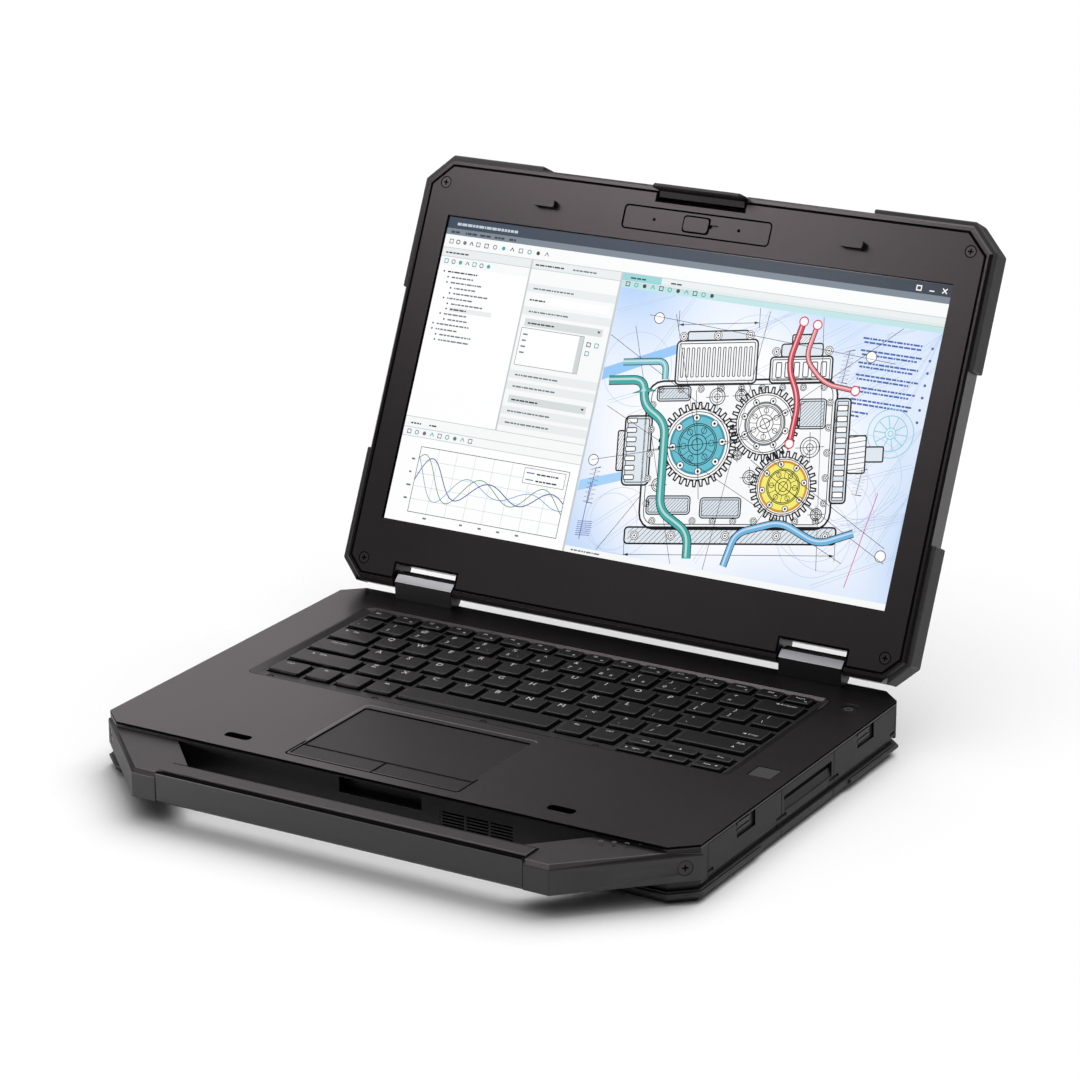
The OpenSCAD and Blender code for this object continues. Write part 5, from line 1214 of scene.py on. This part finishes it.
def flat_box(node):
    """The lowest and highest corner of a lid node in the lid's flat frame, in mm."""
    points = frame_to_lid(column(frame["nodes"][node].data.vertices, "co", 3)) / MM
    return points.min(0), points.max(0)


def screw_places(node, flat=lambda points: points):
    """The centre x, y and half width (mm) of each of a node's separate solids: every corner takes the
    lowest number among its neighbours until nothing changes."""
    shape = welded(node)
    points = flat(np.array([v.co[:] for v in shape.verts])) / MM
    ends = np.array([[v.index for v in e.verts] for e in shape.edges])
    shape.free()
    label, before = np.arange(len(points)), None
    while before is None or (label != before).any():
        before = label.copy()
        low = np.minimum(label[ends[:, 0]], label[ends[:, 1]])
        np.minimum.at(label, ends[:, 0], low)
        np.minimum.at(label, ends[:, 1], low)
    parts = [points[label == k] for k in np.unique(label)]
    return [(*((p.min(0) + p.max(0)) / 2)[:2], np.ptp(p[:, 0]) / 2) for p in parts]


def drawn(shapes, z):
    """Shapes in mm become marks for printed(), at the height z in mm."""
    return [(points * MM, faces, 0.0, 0.0, z * MM) for points, faces in shapes]


# %% Seams on the lid
SEAM_RISE = 0.02
bezel_rim = rims("lid_bezel", BEZEL_FACE, frame_to_lid)
lid_seams = drawn([line(moved_in(bezel_rim[0], 0.6), 1.2, True)], BEZEL_FACE + SEAM_RISE)
shutter_low, shutter_high = flat_box("camera_shutter")
strip_face = BEZEL_FACE - 0.25
for rim in bezel_rim[1:]:
    if 40 < np.ptp(rim[:, 0]) < 120:
        lid_seams += drawn([line(rim, 0.9, True)], BEZEL_FACE + SEAM_RISE)
shutter_foot = rounded_outline(shutter_low[:2] - 0.35, shutter_high[:2] + 0.35, 1.4, 6)[0]
lid_seams += drawn([line(shutter_foot, 1.2, True)], strip_face + SEAM_RISE)
for rim in rims("camera_module", strip_face, frame_to_lid):
    if 0.3 < np.ptp(rim[:, 0]) < 3 and np.ptp(rim[:, 1]) < 3:
        hole = circle(*((rim.min(0) + rim.max(0)) / 2), 0.95, 16)
        lid_seams += drawn([filled(hole)], strip_face + 1.5 * SEAM_RISE)
for x, y, half in screw_places("lid_screws", frame_to_lid):
    lid_seams += drawn([line(circle(x, y, half + 0.15, 24), 0.55, True)], BEZEL_FACE + SEAM_RISE)
printed("lid_seams", lid_seams, "lid", "black_plastic", seam_shadow, place=lid_to_frame)
print("rims on the bezel:", len(bezel_rim), "lid seams:", len(lid_seams))

# %% Seams round the keyboard and the screws of its plate
well_rims = rims("palmrest_plate", deck_mm)
well_rim = next(r for r in well_rims[1:] if np.ptp(r[:, 0]) > 200)
deck_seams = drawn([line(moved_in(well_rim, 0.62), 0.4, True)], deck_mm + SEAM_RISE)
plate_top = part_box("keyboard_plate")[1].z / MM
for x, y, half in screw_places("keyboard_screws"):
    deck_seams += drawn([line(circle(x, y, 2.0, 20), 0.35, True)], plate_top + SEAM_RISE)
left_low, left_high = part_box("touchpad_left_button")
right_low, right_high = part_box("touchpad_right_button")
split = (left_high.x + right_low.x) / 2 / MM
SEAM_HALF = 0.25
u0, v0 = left_low.x / MM - SEAM_HALF, left_low.y / MM - SEAM_HALF
u1, v1 = right_high.x / MM + SEAM_HALF, right_high.y / MM + SEAM_HALF
round_buttons = [[u0, v1 + 4], [u0, v0 + 1.2], [u0 + 1.2, v0], [u1 - 1.2, v0], [u1, v0 + 1.2], [u1, v1 + 4]]
deck_seams += drawn([line(round_buttons, 1.1), line([[u0, v1], [u1, v1]], 0.9),
                     line([[split, v0], [split, v1]], 0.9)], deck_mm + SEAM_RISE)
far = pad_high.y / MM
# A pale line behind the touchpad: a painted highlight along the deck's edge there.
behind_pad = [[u0 - 0.5, v1 + 6], [u0 - 0.5, far - 1], [u0 + 0.8, far + 0.9],
              [u1 - 0.8, far + 0.9], [u1 + 0.5, far - 1]]
pad_highlight_marks = drawn([line(behind_pad, 1.1)], deck_mm + PRINT_RISE)
printed("pad_highlight_lines", pad_highlight_marks, "base", "case_paint", painted_highlight_finish)
printed("deck_seams", deck_seams, "base", "black_plastic", seam_shadow)
print("rims on the palm rest:", len(well_rims), "deck seams:", len(deck_seams))

# %% Shadow lines in the bay door's scoop
SCOOP_DEPTH, SCOOP_TOP = 1.2, 13.2
bay_face = bay_high.x / MM - SCOOP_DEPTH + 0.03
top, low, lowest = (bay_low.z / MM + h for h in (SCOOP_TOP, 10.0, 9.6))
y0, y1 = bay_low.y / MM + 2.6, bay_high.y / MM - 2.6
scoop = [[(y0, top), (y1, top), (y1, low), (y0, low)],
         [(y1 - 1.6, top), (y1, top), (y1, lowest), (y1 - 1.6, lowest)]]
corners = np.array([[(bay_face, y, z) for y, z in quad[::-1]] for quad in scoop]) * MM
scoop_mesh = new_mesh("scoop_shadow", corners, [(0, 1, 2, 3), (4, 5, 6, 7)], seam_shadow)
new_piece("scoop_shadow", scoop_mesh, "right_bay_door", "black_plastic")
print("bay door scoop from y", round(y0, 1), "to", round(y1, 1))

# %% The power button's marks
mark_ink = finish("Mark ink", (0.11, 0.11, 0.115), (0.11, 0.11, 0.115), 0.5, 3000, 0.05, 0.05, 0.0)
power_low, power_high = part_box("power_button")
power_x, power_y = (power_low.x + power_high.x) / 2, (power_low.y + power_high.y) / 2
power_ring = circle(0, 0, 1.9 * MM, 24, math.pi * 0.62, math.pi * 1.76)
power_marks = [(*mark, power_x, power_y, power_high.z + PRINT_RISE * MM)
               for mark in (line(power_ring, 0.4 * MM), rect(*np.array([-0.2, 0.6, 0.2, 2.3]) * MM))]
printed("power_mark", power_marks, "power_button", "light_lens", mark_ink)
print("power marks:", len(power_marks))

# %% Marks behind the status lights, and the light bar
light_low, light_high = (np.array(corner)[:2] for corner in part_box("status_lights"))
LIGHT_R = 0.9 * MM
light_centres = np.linspace(light_low + LIGHT_R, light_high - LIGHT_R, 4)
ledge_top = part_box("handle_frame")[1].z
icons = [[line(circle(0, 0, 0.9, 16, math.pi * 0.6, math.pi * 1.8), 0.25), rect(-0.12, 0.2, 0.12, 1.1)],
         [line(circle(0, 0, 0.9, 16), 0.25, True), filled(circle(0, 0, 0.35, 10))],
         [line([[-1.0, -0.5], [0.8, -0.5], [0.8, 0.5], [-1.0, 0.5]], 0.25, True), rect(0.9, -0.2, 1.15, 0.2)],
         [line(circle(0, -0.7, r, 10, math.pi * 0.25, math.pi * 0.5), 0.25) for r in (0.5, 1.0, 1.5)]]
marks = [(points * MM, faces, x - 1.4 * MM, y + 2.6 * MM, ledge_top + PRINT_RISE * MM)
         for (x, y), icon in zip(light_centres, icons) for points, faces in icon]
printed("status_marks", marks, "base", "light_lens", mark_ink)
bar_lens = finish("Light bar lens", (0.06, 0.06, 0.063), (0.06, 0.06, 0.063), 0.3, 3000, 0.05, 0.05, 0.0)
light_bar = (*bar(7.0 * MM, 0.7 * MM), power_x - 1.0 * MM, power_y + 6.6 * MM, deck_top + PRINT_RISE * MM)
printed("power_light_bar", [light_bar], "base", "light_lens", bar_lens)
print("status marks and light bar:", len(marks) + 1)

# %% [markdown]
# ## Floor, light and camera
# The machine stands on a plain white sweep under a sky that is bright overhead and dark at the
# horizon. The camera itself sees white above the sweep. A wide key light from high behind draws the
# soft shadow to the front, and three soft boxes make the sheen on the bezel, deck and handle.

# %% The floor
FLOOR_HALF = 4.0
corners = np.array([[-1, -1, 0], [1, -1, 0], [1, 1, 0], [-1, 1, 0]]) * FLOOR_HALF
sweep = principled("White sweep", Base_Color=(0.875, 0.875, 0.875, 1), Roughness=0.9,
                   Specular_IOR_Level=0.0)[0]
floor = new_object("floor", new_mesh("floor", corners, [(0, 1, 2, 3)], sweep))
print("floor is", 2 * FLOOR_HALF, "m wide")

# %% The sky
scene = bpy.context.scene
scene.view_settings.view_transform = "Standard"
world = bpy.data.worlds.new("Studio sky")
scene.world = world
world.use_nodes = True
sky_tree = world.node_tree
sky_tree.nodes["Background"].inputs["Color"].default_value = (1, 1, 1, 1)
HORIZON, OVERHEAD = 0.04, 1.66
way = sky_tree.nodes.new("ShaderNodeSeparateXYZ")
sky_tree.links.new(sky_tree.nodes.new("ShaderNodeTexCoord").outputs["Generated"], way.inputs["Vector"])
up = math_node(sky_tree, "MAXIMUM", way.outputs["Z"], 0.0)
rise = math_node(sky_tree, "MULTIPLY", math_node(sky_tree, "POWER", up, 4.0), OVERHEAD)
sky_light = math_node(sky_tree, "ADD", rise, HORIZON)
seen = sky_tree.nodes.new("ShaderNodeLightPath").outputs["Is Camera Ray"]
strength = sky_tree.nodes["Background"].inputs["Strength"]
sky_tree.links.new(math_node(sky_tree, "MAXIMUM", sky_light, seen), strength)
print("sky from", HORIZON, "to", HORIZON + OVERHEAD)


# %% The soft boxes
BOX_COLOUR = (1.0, 0.94, 0.965)


def soft_box(name, at, towards, width, height, power):
    """A rectangular light that shows only in reflections, so that the floor stays even."""
    data = bpy.data.lights.new(name, "AREA")
    data.shape, data.size, data.size_y, data.energy = "RECTANGLE", width, height, power
    data.color = BOX_COLOUR
    lamp = new_object(name, data)
    lamp.location = at
    lamp.rotation_euler = (Vector(towards) - Vector(at)).to_track_quat("-Z", "Y").to_euler()
    lamp.visible_diffuse = False
    lamp.visible_camera = False
    print(f"{name}: {power} W")


soft_box("front_left_box", (-0.44, -0.20, 0.68), (-0.10, 0.17, 0.22), 0.70, 0.22, 4.4)
soft_box("back_left_box", (-0.95, 0.72, 0.45), (-0.15, -0.05, 0.03), 0.7, 0.6, 1.4)
soft_box("low_left_box", (-0.32, -0.42, 0.05), (-0.12, -0.19, 0.02), 0.14, 0.08, 0.70)

# %% The key light
key_light = bpy.data.lights.new("key_light", "SUN")
key_light.energy, key_light.angle = 2.15, math.radians(58)
key_lamp = new_object("key_light", key_light)
key_lamp.rotation_euler = Vector((-0.06, -0.54, -0.84)).to_track_quat("-Z", "Y").to_euler()
print("key light:", round(key_light.energy, 2))

# %% [markdown]
# ## The camera
# The camera stands in front and to the right, a long way off with a long lens, so the machine's
# edges stay nearly parallel. It is turned a fifth of a degree about its own axis.

# %% The camera
CAMERA_AT = np.array([0.90156, -1.52306, 0.70827])
CAMERA_TO = np.array([0.00279, -0.00205, 0.11120])
FOCAL_PIXELS, FRAME_PIXELS, SENSOR_WIDTH = 3620.03, 1080, 36.0
CAMERA_ROLL = -0.0032178
forward = CAMERA_TO - CAMERA_AT
forward /= np.linalg.norm(forward)
level = np.cross(forward, [0, 0, 1])
level /= np.linalg.norm(level)
upright = np.cross(level, forward)
c, s = math.cos(CAMERA_ROLL), math.sin(CAMERA_ROLL)
right_way, up_way = c * level + s * upright, c * upright - s * level
camera_data = bpy.data.cameras.new("camera")
camera_data.sensor_width = SENSOR_WIDTH
camera_data.lens = FOCAL_PIXELS / FRAME_PIXELS * SENSOR_WIDTH
camera_data.clip_end = 20
camera = new_object("camera", camera_data)
place = np.column_stack([right_way, up_way, -forward, CAMERA_AT])
camera.matrix_world = Matrix(np.vstack([place, [0, 0, 0, 1]]))
scene.camera = camera
print("lens in mm:", round(camera_data.lens, 2))
